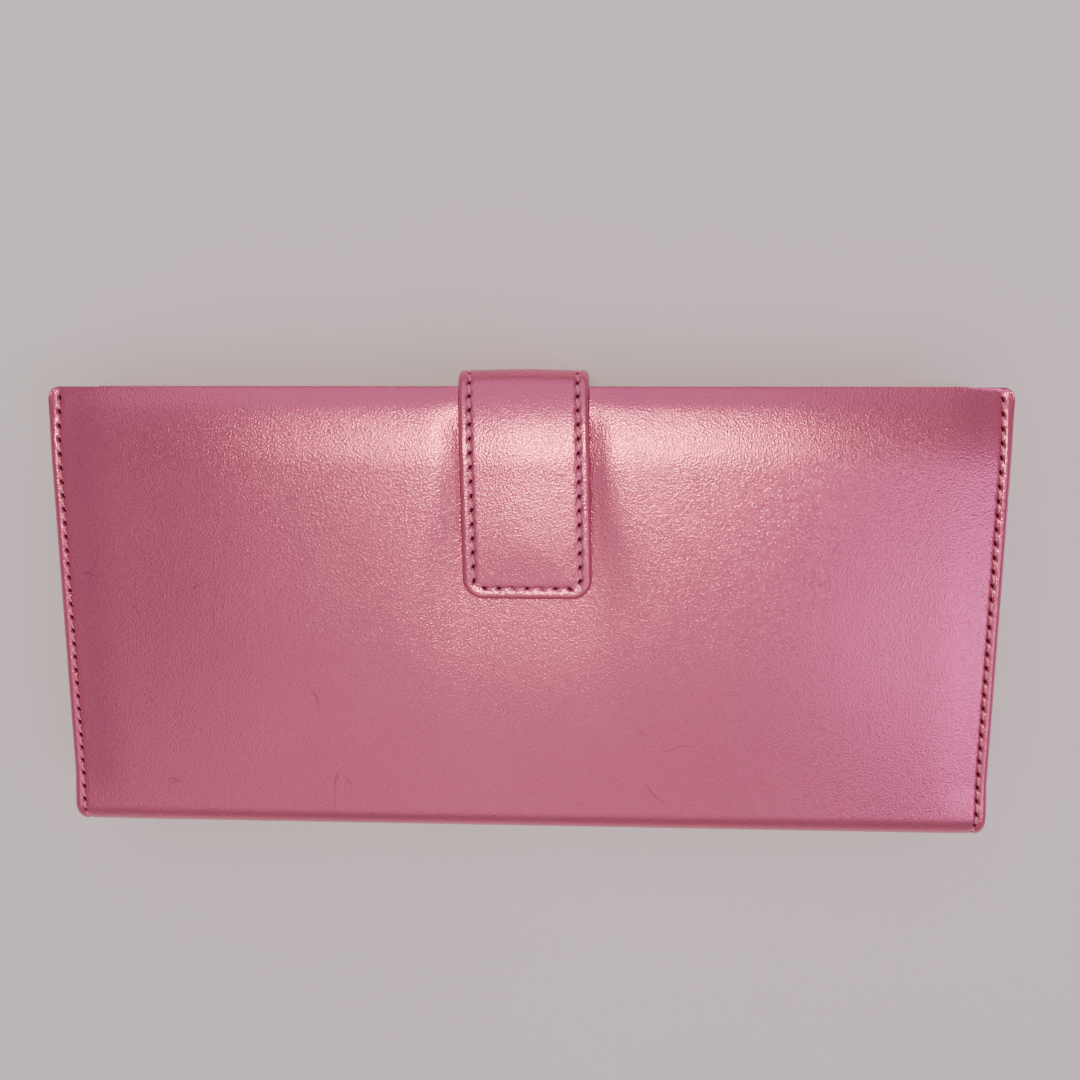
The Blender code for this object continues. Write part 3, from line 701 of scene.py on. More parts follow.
def strap_holes():
    """Hole places and directions: down one side, round the free end and back up the other side.

    Five stretches follow each other. Along a side the place moves evenly, and at a corner it
    goes round a quarter circle by the angle that its share of the row stands for.
    """
    corner = HOLE_CORNER
    half, end = STRAP_HALF - STRAP_SEAM, STRAP_LENGTH - STRAP_SEAM
    straight, across, arc = end - corner, 2 * (half - corner), corner * np.pi / 2
    total = 2 * straight + 2 * arc + across
    count = int(round(total / STITCH))
    d = (np.arange(count + 1)) * total / count
    found = np.zeros((4, count + 1))
    lengths = (straight, arc, across, arc, straight)
    for number, length in enumerate(lengths):
        first = sum(lengths[:number])
        here = (d >= first - 1e-9) & (d <= first + length + 1e-9)
        p = d[here] - first
        sin, cos = np.sin(p / corner), np.cos(p / corner)
        stretches = (
            (-half, p, 0, 1),
            (-half + corner * (1 - cos), straight + corner * sin, sin, cos),
            (-half + corner + p, end, 1, 0),
            (half - corner * (1 - sin), straight + corner * cos, cos, -sin),
            (half, straight - p, 0, -1),
        )
        for row, value in zip(found, stretches[number]):
            row[here] = value
    return found


def strap_depths(x, s, holes):
    """(outer depth, inner depth, hole) of the strap: rim, furrow under the thread, padded middle."""
    e = STRAP_LENGTH - s
    corner_x = np.abs(x) - (STRAP_HALF - STRAP_CORNER)
    corner_e = STRAP_CORNER - e
    in_corner = (corner_x > 0) & (corner_e > 0)
    border = np.where(
        in_corner,
        STRAP_CORNER - np.hypot(np.maximum(corner_x, 0), np.maximum(corner_e, 0)),
        np.minimum(STRAP_HALF - np.abs(x), e),
    )
    border = np.clip(border, 0.0, None)
    furrow = bell(border - STRAP_SEAM, 0.60 * MM)
    puff = 0.22 * MM * smooth(border, 2.0 * MM, 12.0 * MM)
    hole = holes_at(x, s, *holes)
    outer = 0.15 * MM * furrow + 0.60 * MM * hole - puff
    middle = STRAP_THICK / 2
    round_off = quarter(border, STRAP_RIM)
    outer = middle - (middle - outer) * round_off
    inner = middle + (STRAP_THICK - middle - 0.12 * MM * furrow) * round_off
    y = strap_path(s)[0]
    seat = 1.0 - smooth(np.hypot(x + strap_lean(y), y - SNAP_Y), SEAT, SEAT + 1.6 * MM)
    inner = inner - SEAT_DEPTH * seat
    return outer, inner, hole, border


def strap_point(x, s, depth):
    y, z, ny, nz = strap_path(s)
    lift = tab_lift(y, s)
    py, pz = y + depth * ny, z + depth * nz + lift
    return np.stack([x + strap_lean(py), py, pz], axis=-1)


hx, hs, hdx, hds = strap_holes()
strap_hole_places = (list(zip(hx, hs)), list(zip(hdx, hds)))
apart = float(np.hypot(np.diff(hx), np.diff(hs)).mean())
print(len(hx), "holes round the strap,", round(apart / MM, 2), "mm apart")


def make_strap(name, first, last, material):
    """A length of the strap between two distances along it, closed at both ends."""
    whole = last >= STRAP_LENGTH
    rim = STRAP_RIM * (1.0 - np.cos(np.linspace(0.0, np.pi / 2, 8)))
    fine = np.concatenate([rim, np.arange(1.2, 3.6, 0.12) * MM, np.arange(3.8, 6.0, 0.5) * MM])
    middle = np.linspace(6.2 * MM, STRAP_HALF, 9)
    distance = np.concatenate([fine, middle])
    if whole:
        bend = STRAP_CORNER * (1.0 - np.cos(np.linspace(0.0, np.pi / 2, 34)))
        rows = np.concatenate([np.arange(first, last - STRAP_CORNER, 0.30 * MM), last - bend[::-1]])
    else:
        rows = np.linspace(first, last, int((last - first) / (0.30 * MM)) + 1)
    e = np.clip(STRAP_CORNER - (STRAP_LENGTH - rows), 0.0, STRAP_CORNER)
    side = (STRAP_HALF - STRAP_CORNER + np.sqrt(STRAP_CORNER**2 - e**2))[:, None]
    right = side - distance[None, :] * side / STRAP_HALF
    x = both_sides(right)
    s = np.repeat(rows[:, None], x.shape[1], axis=1)
    outer, inner, hole, border = strap_depths(x, s, strap_hole_places)
    # The rim mark paints the crest of the rounded border paler: rubbing and painted highlight.
    rim = bell(border - 0.9 * MM, 1.0 * MM) * 0.1
    # Painted shadow: the edge mark darkens the outermost border, where the strap meets the cover.
    edge = 1 - smooth(border, 0.02 * MM, 0.22 * MM)
    shades = {"hole": (hole, 0 * hole), "rim": (rim, rim), "edge": (edge, edge)}
    faces = strap_point(x, s, outer), strap_point(x, s, inner)
    return make_shell(name, *faces, False, material, (True, not whole), **shades)


strap_low = make_strap("strap_riser", 0.0, STRAP_SPLIT, leather)
strap_high = make_strap("strap_tab", STRAP_SPLIT, STRAP_LENGTH, leather)
LOW_FROM, LOW_TO = (0.0, 40.9 * MM, 6.0 * MM), (0.0, 48.8 * MM, 10.7 * MM)
HIGH_FROM, HIGH_TO = (0.0, 49.8 * MM, 11.4 * MM), (0.0, 48.0 * MM, 27.0 * MM)
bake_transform(strap_low)
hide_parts("strap_lower_bend", "strap_riser_leather", "strap_riser_lining")
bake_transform(strap_high)
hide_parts("strap_upper_bend", "strap_tab_leather", "strap_tab_lining")


# %% [markdown]
# The strap's thread is one row of stitches from hole to hole, seen on both faces. It is parted
# at the same place as the strap.
# %% The strap's stitches
def strap_stitches(under):
    """Stitches between neighbouring holes, in two rows of thread that meet at the split."""
    x, s = hx, hs
    depths = strap_depths(x[:, None], s[:, None], ([(0.0, -1.0)], [(0.0, 1.0)]))
    points = strap_point(x, s, depths[int(under)][:, 0])
    _, _, ny, nz = strap_path(s)
    normals = (-1.0 if under else 1.0) * np.stack([0 * ny, -ny, -nz], axis=-1)
    middle = normals[:-1] + normals[1:]
    middle /= np.linalg.norm(middle, axis=1, keepdims=True)
    between = (s[:-1] + s[1:]) / 2
    high = between > STRAP_SPLIT
    word = "under_stitches" if under else "stitches"
    for name, chosen, bodies, line in (
        ("strap_tab_", high, ("strap_riser", "strap_tab"), (HIGH_FROM, HIGH_TO)),
        ("strap_riser_", ~high, ("back_half", "strap_riser"), (LOW_FROM, LOW_TO)),
    ):
        obj = stitch_row(name + word, points[:-1][chosen], points[1:][chosen], middle[chosen], thread)
        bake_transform(obj)


strap_stitches(under=False)
strap_stitches(under=True)


# %% [markdown]
# The strap's root lies between the back cover's two leaves. A box of stitches goes through all
# of them, and shows on the back.
# %% The stitches that hold the strap's root
def run_lengths(line):
    """How far along a line of points each point lies."""
    return np.concatenate([[0.0], np.cumsum(np.linalg.norm(np.diff(line, axis=0), axis=1))])


def root_stitches():
    """A box of stitches on the back face, where the strap's root lies under the leather."""
    half, low_y, high_y = STRAP_HALF - STRAP_SEAM, 30.5 * MM, 41.5 * MM
    corners = np.array([(-half, low_y), (half, low_y), (half, high_y), (-half, high_y), (-half, low_y)])
    run = run_lengths(corners)
    counts = [int(round((b - a) / STITCH)) for a, b in zip(run[:-1], run[1:])]
    at = [np.linspace(a, b, n + 1)[:-1] for a, b, n in zip(run[:-1], run[1:], counts)]
    at = np.append(np.concatenate(at), run[-1])
    x, y = (np.interp(at, run, corners[:, i]) for i in (0, 1))
    points = np.stack([x + strap_lean(EDGE_Y), y, -face_lift(x, y, False)], axis=-1)
    normals = np.repeat([[0.0, 0.0, -1.0]], len(at) - 1, axis=0)
    obj = stitch_row("strap_root_stitches", points[:-1], points[1:], normals, thread)
    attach(obj, "back_half")
    print(len(at) - 1, "stitches in the box on the back")


root_stitches()

# %% [markdown]
# Inside, the pockets are single sheets laid on each other like cards, each a little lower than
# the one behind it. A sheet is a flat pad: an upper and a lower grid that meet at a rounded
# border. Its mouth is a turned edge with a line pressed below it, which stops the edge curling.
# One function makes them all, from the corners of the node that each stands for.
# %% Pocket sheets
PRESSED = 1.8 * MM


def make_sheet(name, body, material, up=1, corner=1.5 * MM, seams=(), lift=0.15 * MM, pressed=True):
    """A pad between the corners of a node, its good face up (1) or down (-1).

    The half width shrinks along a quarter circle near each end, the thickness fades to nothing
    along a quarter circle at the border, and the good face swells a little between its seams.
    """
    low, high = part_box(name)
    half_thick = (high.z - low.z) / 2
    centre, half = (low.x + high.x) / 2, (high.x - low.x) / 2
    edge = half_thick * (1 - np.cos(np.linspace(0, np.pi / 2, 6)))
    border = np.concatenate([edge, np.arange(0.6, 3.2, 0.2) * MM, [4 * MM, 6 * MM]])
    length = high.y - low.y
    ends = border[border < 0.42 * length]
    middle = np.linspace(ends[-1], length - ends[-1], max(6, int(length / (4 * MM))))[1:-1]
    rows = np.concatenate([ends, middle, length - ends[::-1]]) + low.y
    e = np.minimum(rows - low.y, high.y - rows)
    side = half - corner + np.sqrt(np.clip(corner**2 - np.clip(corner - e, 0, None) ** 2, 0, None))
    across = np.concatenate([border, np.linspace(8 * MM, half, int(half / (4 * MM)))])
    right = side[:, None] * (1 - across[None, :] / half)
    x = both_sides(right) + centre
    y = np.repeat(rows[:, None], x.shape[1], axis=1)
    from_side = half - np.abs(x - centre)
    inside = np.minimum(side[:, None] - np.abs(x - centre), e[:, None])
    fade = quarter(inside, half_thick)
    relief = lift * smooth(from_side, 1.5 * MM, 9 * MM) * smooth(high.y - y, 1.0 * MM, 5 * MM)
    if pressed:
        relief = relief - 0.12 * MM * bell(high.y - y - PRESSED, 0.28 * MM)
    for place in seams:
        relief = relief - 0.14 * MM * bell(x - place, 0.5 * MM)
    z_middle = (low.z + high.z) / 2
    good = z_middle + up * (half_thick + relief) * fade
    back = z_middle - up * half_thick * fade
    good, back = (np.stack([x, y, z], -1) for z in (good, back))
    # The rim mark paints the turned mouth paler: rubbing and painted highlight.
    rim = bell(high.y - y - 0.7 * MM, 0.9 * MM) * 0.5
    obj = make_shell(name + "_sheet", good, back, up < 0, material, rim=(rim, rim))
    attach(obj, body)
    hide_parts(name)
    return obj


INNER_STITCH = 2.6 * MM


def sew(name, points, up, body):
    """Fine stitches from each point to the next, on a face that looks up (1) or down (-1)."""
    normals = np.repeat([[0.0, 0.0, float(up)]], len(points) - 1, axis=0)
    obj = stitch_row(name, points[:-1], points[1:], normals, thread, radius=0.15 * MM, rise=0.12 * MM)
    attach(obj, body)


def line_of_stitches(name, start, end, up, body):
    """A straight row of stitches between two points."""
    start, end = np.array(start), np.array(end)
    count = max(2, int(np.linalg.norm(end - start) / INNER_STITCH))
    sew(name, start + np.linspace(0, 1, count + 1)[:, None] * (end - start), up, body)


# %% [markdown]
# The lining leather is smoother, and a shade deeper than the outside. The money pockets behind
# it are faced with a satin cloth, whose weave is two sets of fine waves at right angles, one
# along each thread.
# %% Inner leather and lining cloth
# The second colour also paints shade in the furrows and holes; the third paints the rims paler, as
# rubbing and painted highlight.
inner_leather, inner_shader = make_leather(
    "inner_leather", (0.62, 0.13, 0.20), (0.52, 0.10, 0.17), (0.72, 0.22, 0.29), 0.42, 0.36 * MM, 0.7
)
inner_shader.inputs["Metallic"].default_value = 0.35


def make_cloth(name, warp_colour, weft_colour, pitch, roughness=0.6, sheen=0.4):
    """Plain weave: a wave across each set of threads, each thread on top where its wave wins."""
    material, tree, shader = new_material(name)
    place = attribute(tree, "rest").outputs["Vector"]
    split = node(tree, "SeparateXYZ", ("Vector", place))
    waves = [wave_of(tree, split.outputs[axis], 2 * np.pi / pitch) for axis in ("X", "Y")]
    over = from_wave(tree, sums(tree, "Math", "MULTIPLY", *waves))
    fuzz = noise(tree, place, 700.0, ("Detail", 4.0)).outputs["Fac"]
    tint = mix(tree, over, warp_colour, weft_colour)
    tint = mix(tree, fade_in(tree, fuzz, 0.3, 0.8, 0.35), tint, grey(0.05))
    tree.links.new(tint, shader.inputs["Base Color"])
    normal = bump(tree, over, 0.18 * pitch, 0.8)
    tree.links.new(bump(tree, fuzz, 0.05 * MM, 0.3, normal), shader.inputs["Normal"])
    shader.inputs["Roughness"].default_value = roughness
    shader.inputs["Sheen Weight"].default_value = sheen
    return material


satin = make_cloth("satin_lining", (0.50, 0.12, 0.18), (0.42, 0.09, 0.14), 0.34 * MM)
tape_cloth = make_cloth("zip_tape_cloth", (0.40, 0.07, 0.13), (0.30, 0.05, 0.10), 0.42 * MM, 0.8)
print("inner leather and two cloths are ready")

# %% [markdown]
# The satin money pockets lie deepest, then the coin pocket's rear wall, then the card slots in
# rising steps. A row of fine stitches runs down each side of a slot, as far as the slot below.
# %% Money pockets and card slots
for half, up in (("back", 1), ("front", -1)):
    pocket = make_sheet(f"{half}_note_pocket", f"{half}_half", satin, up, corner=2 * MM, lift=0.1 * MM)
rear = make_sheet("coin_pocket_rear", "back_half", satin, 1, corner=2 * MM, lift=0.0)

for stem, body, up in (
    ("back_card_slot_left", "back_half", 1),
    ("back_card_slot_right", "back_half", 1),
    ("front_card_slot", "front_half", -1),
):
    for number in (1, 2, 3):
        low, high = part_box(f"{stem}_{number}")
        seams = (low.x + 1.6 * MM, high.x - 1.6 * MM)
        slot = make_sheet(f"{stem}_{number}", body, inner_leather, up, seams=seams)
        face = high.z if up > 0 else low.z
        if number < 3:
            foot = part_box(f"{stem}_{number + 1}")[1].y + 0.4 * MM
        else:
            foot = low.y + 1.6 * MM
        for word, place in zip(("left", "right"), seams):
            line_of_stitches(
                f"{stem}_{number}_stitches_{word}",
                (place, foot, face - up * 0.14 * MM),
                (place, high.y - 1.4 * MM, face - up * 0.14 * MM),
                up,
                body,
            )
print("six back slots and three front slots are sewn in")

# %% [markdown]
# A frame round an opening is a ring: the same shape of section is carried all the way round,
# between the outline of the opening and the outer outline. Each point of the section is given
# as a distance from one of the two outlines and a height, so a turned edge keeps its width
# where the frame gets broad.
# %% Rings round an opening
def round_outline(x0, x1, y0, y1, corner, along=24, up_side=10, arc=8):
    """A rounded rectangle as a closed loop; every loop made this way has matching points."""
    loop = []
    for (cx, cy), first, count, start in (
        ((x1 - corner, y1 - corner), 0, along, (x0 + corner, y1)),
        ((x1 - corner, y0 + corner), -90, up_side, (x1, y1 - corner)),
        ((x0 + corner, y0 + corner), -180, along, (x1 - corner, y0)),
        ((x0 + corner, y1 - corner), -270, up_side, (x0, y0 + corner)),
    ):
        angle = np.radians(first + 90 - np.linspace(0, 90, arc))
        turn_ = np.stack([cx + corner * np.cos(angle), cy + corner * np.sin(angle)], -1)
        share = np.linspace(0, 1, count, endpoint=False)[1:, None]
        loop.append(np.array(start) + share * (turn_[0] - np.array(start)))
        loop.append(turn_)
    return np.concatenate(loop)


def carry_ring(name, inner, outer, section, material, body, flip=False):
    """Carries a closed section of ('in' or 'out', distance, height) points round two outlines."""
    gap = outer - inner
    unit = gap / np.linalg.norm(gap, axis=1, keepdims=True)
    rings = []
    for edge, distance, height in section:
        flat = inner + unit * distance if edge == "in" else outer - unit * distance
        rings.append(np.concatenate([flat, np.full((len(flat), 1), height)], axis=1))
    points = np.stack(rings)
    index = np.arange(points.shape[0] * points.shape[1]).reshape(points.shape[:2])
    index = np.concatenate([index, index[:1]], axis=0)
    index = wrapped(index)
    rim = np.zeros(points.shape[:2])
    obj = make_piece(name, points, quads(index, flip), material, attributes={"rim": rim}, sharp=50)
    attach(obj, body)
    return obj


def edge_arc(edge, low, high, turned_edge, steps=6):
    """Half a circle round a sheet's edge, from its top face to its bottom face or back."""
    radius = (high - low) / 2
    angle = np.linspace(np.pi / 2, -np.pi / 2, steps)
    points = [(edge, radius - radius * np.cos(a), (low + high) / 2 + radius * np.sin(a)) for a in angle]
    return points if turned_edge else points[::-1]


def furrowed(face, sign, seam, reach):
    """Section points across a face that sinks (or, on a lower face, rises) under its stitches."""
    places = np.arange(0.8, reach, 0.2)
    return [("in", d * MM, face + sign * 0.13 * MM * float(bell(d - seam, 0.45))) for d in places]


def stitch_loop(name, loop, height, up, body):
    """Stitches all the way round a closed flat loop."""
    closed = np.concatenate([loop, loop[:1]])
    run = run_lengths(closed)
    count = int(run[-1] / INNER_STITCH)
    at = np.linspace(0, run[-1], count + 1)
    x, y = (np.interp(at, run, closed[:, i]) for i in (0, 1))
    sew(name, np.stack([x, y, np.full(count + 1, height)], -1), up, body)


# %% [markdown]
# The coin pocket is a shallow box of lining leather with the zip let into its face. Its section
# starts at the turned lip beside the zip, crosses the face with a furrow for the stitches, goes
# over the outer edge and down to the rear wall, and comes back up inside.
# %% The coin pocket
low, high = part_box("coin_pocket_front")
FACE = high.z
MOUTH = 4.5 * MM
ZIP_Y = (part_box("zip_tape_upper")[0].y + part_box("zip_tape_lower")[1].y) / 2
mouth_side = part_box("zip_tape_upper")[1].x - 5 * MM
mouth = round_outline(-mouth_side, mouth_side, ZIP_Y - MOUTH, ZIP_Y + MOUTH, 1.5 * MM)
outer = round_outline(low.x, high.x, low.y, high.y, 2.0 * MM)
wall = 0.7 * MM
section = edge_arc("in", FACE - wall, FACE, False)
section += furrowed(FACE, -1, 1.7, 3.0)
for inset, drop in ((2.0, 0.0), (1.0, 0.05), (0.4, 0.2), (0.1, 0.5), (0.0, 1.0)):
    section.append(("out", inset * MM, FACE - drop * MM))
for inset, above in ((0.0, 0.1), (0.1, 0.0), (1.9, 0.0), (2.0, 0.1)):
    section.append(("out", inset * MM, low.z + above * MM))
section += [("out", 2.0 * MM, FACE - wall), ("in", 3.0 * MM, FACE - wall)]
coin_front = carry_ring("coin_pocket_face", mouth, outer, section, inner_leather, "back_half")
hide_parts("coin_pocket_front")
across, along = mouth_side + 1.7 * MM, MOUTH + 1.7 * MM
seam_loop = round_outline(-across, across, ZIP_Y - along, ZIP_Y + along, 3.0 * MM)
stitch_loop("coin_pocket_stitches", seam_loop, FACE - 0.12 * MM, 1, "back_half")
print("coin pocket face at z", round(FACE / MM, 2), "mm, zip at y", round(ZIP_Y / MM, 2), "mm")

# %% [markdown]
# Small metal parts are all rounded blocks. A superellipsoid is a ball whose sine and cosine are
# raised to a power below one: the smaller the power, the squarer the ball. One grid and three
# half sizes give stops, wings, posts and teeth.
# %% Polished metal and rounded blocks
def make_metal(name, colour, roughness, scale):
    """Plated metal: fine brushing as long thin noise, with slow clouding in the gloss."""
    material, tree, shader = new_material(name)
    rest = attribute(tree, "rest").outputs["Vector"]
    stretched = node(tree, "Mapping", ("Vector", rest), ("Scale", (0.15, 1.0, 1.0)))
    brush = noise(tree, stretched.outputs["Vector"], scale, ("Detail", 3.0)).outputs["Fac"]
    cloud = noise(tree, rest, 300.0, ("Detail", 3.0)).outputs["Fac"]
    tree.links.new(mix(tree, cloud, colour, times(0.82, colour)), shader.inputs["Base Color"])
    links = [("Value", cloud), ("To Min", roughness - 0.06), ("To Max", roughness + 0.10)]
    tree.links.new(node(tree, "MapRange", *links).outputs["Result"], shader.inputs["Roughness"])
    tree.links.new(bump(tree, brush, 0.01 * MM, 0.4), shader.inputs["Normal"])
    shader.inputs["Metallic"].default_value = 1.0
    return material


gold = make_metal("pale_gold", (0.83, 0.62, 0.40), 0.24, 9000.0)


def block_grid(centre, half, power=0.35, rings=9, sides=16):
    """Points and faces of a superellipsoid with its two poles closed."""
    v = np.linspace(-np.pi / 2, np.pi / 2, rings)[:, None]
    u = np.linspace(0, 2 * np.pi, sides, endpoint=False)[None, :] + 1e-9

    def root(value):
        return np.sign(value) * np.abs(value) ** power

    x = root(np.cos(v)) * root(np.cos(u))
    y = root(np.cos(v)) * root(np.sin(u))
    z = root(np.sin(v)) + 0 * u
    points = np.stack([x, y, z], -1) * np.array(half) + np.array(centre)
    index = np.arange(rings * sides).reshape(rings, sides)
    index[0], index[-1] = index[0, 0], index[-1, 0]
    index = wrapped(index)
    return points.reshape(-1, 3), quads(index)


def make_blocks(name, blocks, material, body, **shape):
    """Several rounded blocks in one mesh, from (centre, half sizes) pairs."""
    points, faces = [], []
    for centre, half in blocks:
        some, their = block_grid(centre, half, **shape)
        faces.append(their + len(points) * len(some))
        points.append(some)
    obj = make_piece(name, np.concatenate(points), np.concatenate(faces), material, sharp=50)
    drop_loose(obj)
    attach(obj, body)
    return obj


def block_of(node_name):
    """A node's box as (centre, half sizes)."""
    low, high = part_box(node_name)
    return tuple((low + high) / 2), tuple((high - low) / 2)


# %% [markdown]
# The zip has a woven tape on each side and metal teeth pressed on to the tapes' inner edges.
# Every tooth is the same small block: a head that reaches past the middle line, between the
# heads of the other side, and a pair of legs on the tape. They are placed by their pitch.
# %% The zip
for word in ("upper", "lower"):
    tape = make_sheet(f"zip_tape_{word}", "back_half", tape_cloth, 1, 0.3 * MM, lift=0.0, pressed=False)

TOOTH_PITCH = 2.8 * MM
CHAIN_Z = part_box("zip_tape_upper")[0].z + 0.2 * MM
teeth_low, teeth_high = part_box("zip_teeth_upper")
count = int((teeth_high.x - teeth_low.x) / TOOTH_PITCH)
for side, word in ((1, "upper"), (-1, "lower")):
    shift = 0.3 * MM + (0 if side > 0 else TOOTH_PITCH / 2) + 0.55 * MM
    places = teeth_low.x + shift + np.arange(count) * TOOTH_PITCH
    teeth = []
    for x in places:
        teeth.append(((x, ZIP_Y + side * 0.75 * MM, CHAIN_Z), (0.52 * MM, 1.6 * MM, 0.85 * MM)))
        teeth.append(((x, ZIP_Y - side * 0.35 * MM, CHAIN_Z), (0.66 * MM, 0.5 * MM, 0.60 * MM)))
    row = make_blocks(f"zip_teeth_row_{word}", teeth, gold, "back_half", rings=5, sides=8, power=0.5)
    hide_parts(f"zip_teeth_{word}")
    tape_edge = ZIP_Y + side * 2.15 * MM
    cord_low, cord_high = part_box(f"zip_tape_{word}")
    beading = make_blocks(
        f"zip_cord_{word}",
        [((0, tape_edge, CHAIN_Z), ((cord_high.x - cord_low.x) / 2, 0.35 * MM, 0.38 * MM))],
        tape_cloth,
        "back_half",
        power=0.6,
        rings=13,
    )
for stop in ("zip_stop_closed_upper", "zip_stop_closed_lower", "zip_stop_open"):
    block = make_blocks(stop + "_block", [block_of(stop)], gold, "back_half")
    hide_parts(stop)
print(count, "teeth on each tape")


# %% [markdown]
# The slider is two wings joined by a post, with an arch on top that the puller's ring hangs in.
# The arch is a round bar bent into a bridge, so it is a tube carried along its own line; the
# puller is a ring again, a flat plate between its eye and its outline.
# %% Slider and puller
def tube(name, line, radius, material, body, sides=12):
    """A round bar along a line in the XZ plane, closed at both ends by a dome of small rings."""
    line = np.array(line, dtype=float)
    tangent = np.gradient(line, axis=0)
    tangent /= np.linalg.norm(tangent, axis=1, keepdims=True)
    across = np.array([[0.0, 1.0, 0.0]])
    other = np.cross(tangent, across)
    a = np.linspace(0, 2 * np.pi, sides, endpoint=False)[None, :, None]
    size = np.full(len(line), radius)
    size[0] = size[-1] = radius * 1e-3
    ring = np.cos(a) * across[:, None, :] + np.sin(a) * other[:, None, :]
    points = line[:, None, :] + size[:, None, None] * ring
    index = np.arange(points.shape[0] * sides).reshape(-1, sides)
    index[0], index[-1] = index[0, 0], index[-1, 0]
    index = wrapped(index)
    obj = make_piece(name, points, quads(index, True), material, sharp=60)
    drop_loose(obj)
    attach(obj, body)
    return obj


slider_low, slider_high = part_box("zip_slider")
slider_x = (slider_low.x + slider_high.x) / 2
half_long, half_across = (slider_high.x - slider_low.x) / 2, (slider_high.y - slider_low.y) / 2
wing_gap = 1.5 * MM
wing = (half_long, half_across, 0.30 * MM)
wings = [((slider_x, ZIP_Y, CHAIN_Z + side * wing_gap), wing) for side in (-1, 1)]
wings.append(((slider_high.x - 1.5 * MM, ZIP_Y, CHAIN_Z), (0.7 * MM, 0.7 * MM, 1.6 * MM)))
slider = make_blocks("zip_slider_body", wings, gold, "slider", power=0.45, rings=13, sides=28)
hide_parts("zip_slider")
bar_top = slider_high.z - 0.4 * MM
wing_top = CHAIN_Z + 1.8 * MM
rear_x, front_x = slider_x - 2.2 * MM, slider_x + 2.4 * MM
angle = np.linspace(0, np.pi / 2, 6)
radius_x = 1.0 * MM
bridge = [(rear_x, ZIP_Y, wing_top - 0.3 * MM), (rear_x, ZIP_Y, wing_top - 0.2 * MM)]
for foot, sign, turns in ((rear_x, 1, angle), (front_x, -1, angle[::-1])):
    for t in turns:
        corner_x = foot + sign * radius_x * (1 - np.cos(t))
        bridge.append((corner_x, ZIP_Y, bar_top - radius_x * (1 - np.sin(t))))
bridge += [(front_x, ZIP_Y, wing_top - 0.2 * MM), (front_x, ZIP_Y, wing_top - 0.3 * MM)]
arch = tube("zip_slider_arch", bridge, 0.45 * MM, gold, "slider")

puller_low, puller_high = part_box("zip_puller")
pivot = puller_high.x - 2.9 * MM
theta = np.linspace(0, 2 * np.pi, 64, endpoint=False)
eye, ring_outer = (
    np.stack([pivot + radius * np.cos(theta), ZIP_Y + radius * np.sin(theta)], -1)
    for radius in (1.9 * MM, 2.9 * MM)
)
section = edge_arc("in", puller_low.z, puller_high.z, False)
section += edge_arc("out", puller_low.z, puller_high.z, True)
ring = carry_ring("zip_puller_ring", eye, ring_outer, section, gold, "puller", flip=True)
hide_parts("zip_puller")
tongue_from, tongue_to = pivot - 2.6 * MM, puller_low.x
tongue_outer = round_outline(tongue_to, tongue_from, ZIP_Y - 2.4 * MM, ZIP_Y + 2.4 * MM, 1.9 * MM)
tongue_eye = round_outline(
    tongue_to + 3.2 * MM, tongue_from - 5.0 * MM, ZIP_Y - 0.9 * MM, ZIP_Y + 0.9 * MM, 0.85 * MM
)
tongue = carry_ring("zip_puller_tongue", tongue_eye, tongue_outer, section, gold, "puller")
print("puller pivots at x", round(pivot / MM, 2), "mm")

# %% [markdown]
# The left side of the front half shows a picture or a card behind a clear film, held by a
# leather frame. The film is the only clear piece; it is thin, so light should pass straight
# through it, and a little of its gloss is what shows.
# %% The clear window
backing = make_sheet("window_backing", "front_half", inner_leather, -1)
low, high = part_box("window_frame")
opening = round_outline(low.x + 9 * MM, high.x - 9 * MM, low.y + 12 * MM, high.y - 8 * MM, 4.0 * MM)
outer = round_outline(low.x, high.x, low.y, high.y, 1.5 * MM)
down = low.z
section = [("in", d, -h) for _, d, h in edge_arc("in", -high.z, -low.z, False)]
section += furrowed(down, 1, 1.8, 3.2)
section += [("out", d, -h) for _, d, h in edge_arc("out", -high.z, -low.z, True)]
frame_piece = carry_ring(
    "window_frame_leather", opening, outer, section, inner_leather, "front_half", flip=True
)
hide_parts("window_frame")
seam_loop = round_outline(
    low.x + 7.2 * MM, high.x - 7.2 * MM, low.y + 10.2 * MM, high.y - 6.2 * MM, 5.5 * MM
)
stitch_loop("window_frame_stitches", seam_loop, down + 0.12 * MM, -1, "front_half")
for word, place in (("left", low.x + 1.6 * MM), ("right", high.x - 1.6 * MM)):
    line_of_stitches(
        f"window_side_stitches_{word}",
        (place, low.y + 1.6 * MM, down + 0.02 * MM),
        (place, high.y - 1.4 * MM, down + 0.02 * MM),
        -1,
        "front_half",
    )

film, tree, shader = new_material("clear_film")
waviness = noise(tree, attribute(tree, "rest").outputs["Vector"], 60.0, ("Detail", 2.0)).outputs["Fac"]
tree.links.new(bump(tree, waviness, 0.3 * MM, 0.3), shader.inputs["Normal"])
film_tint = mix(tree, waviness, (0.95, 0.93, 0.92), (0.88, 0.88, 0.90))
tree.links.new(film_tint, shader.inputs["Base Color"])
shader.inputs["Roughness"].default_value = 0.05
shader.inputs["Alpha"].default_value = 0.12
window = make_sheet("clear_window", "front_half", film, -1, 1 * MM, lift=0.1 * MM, pressed=False)

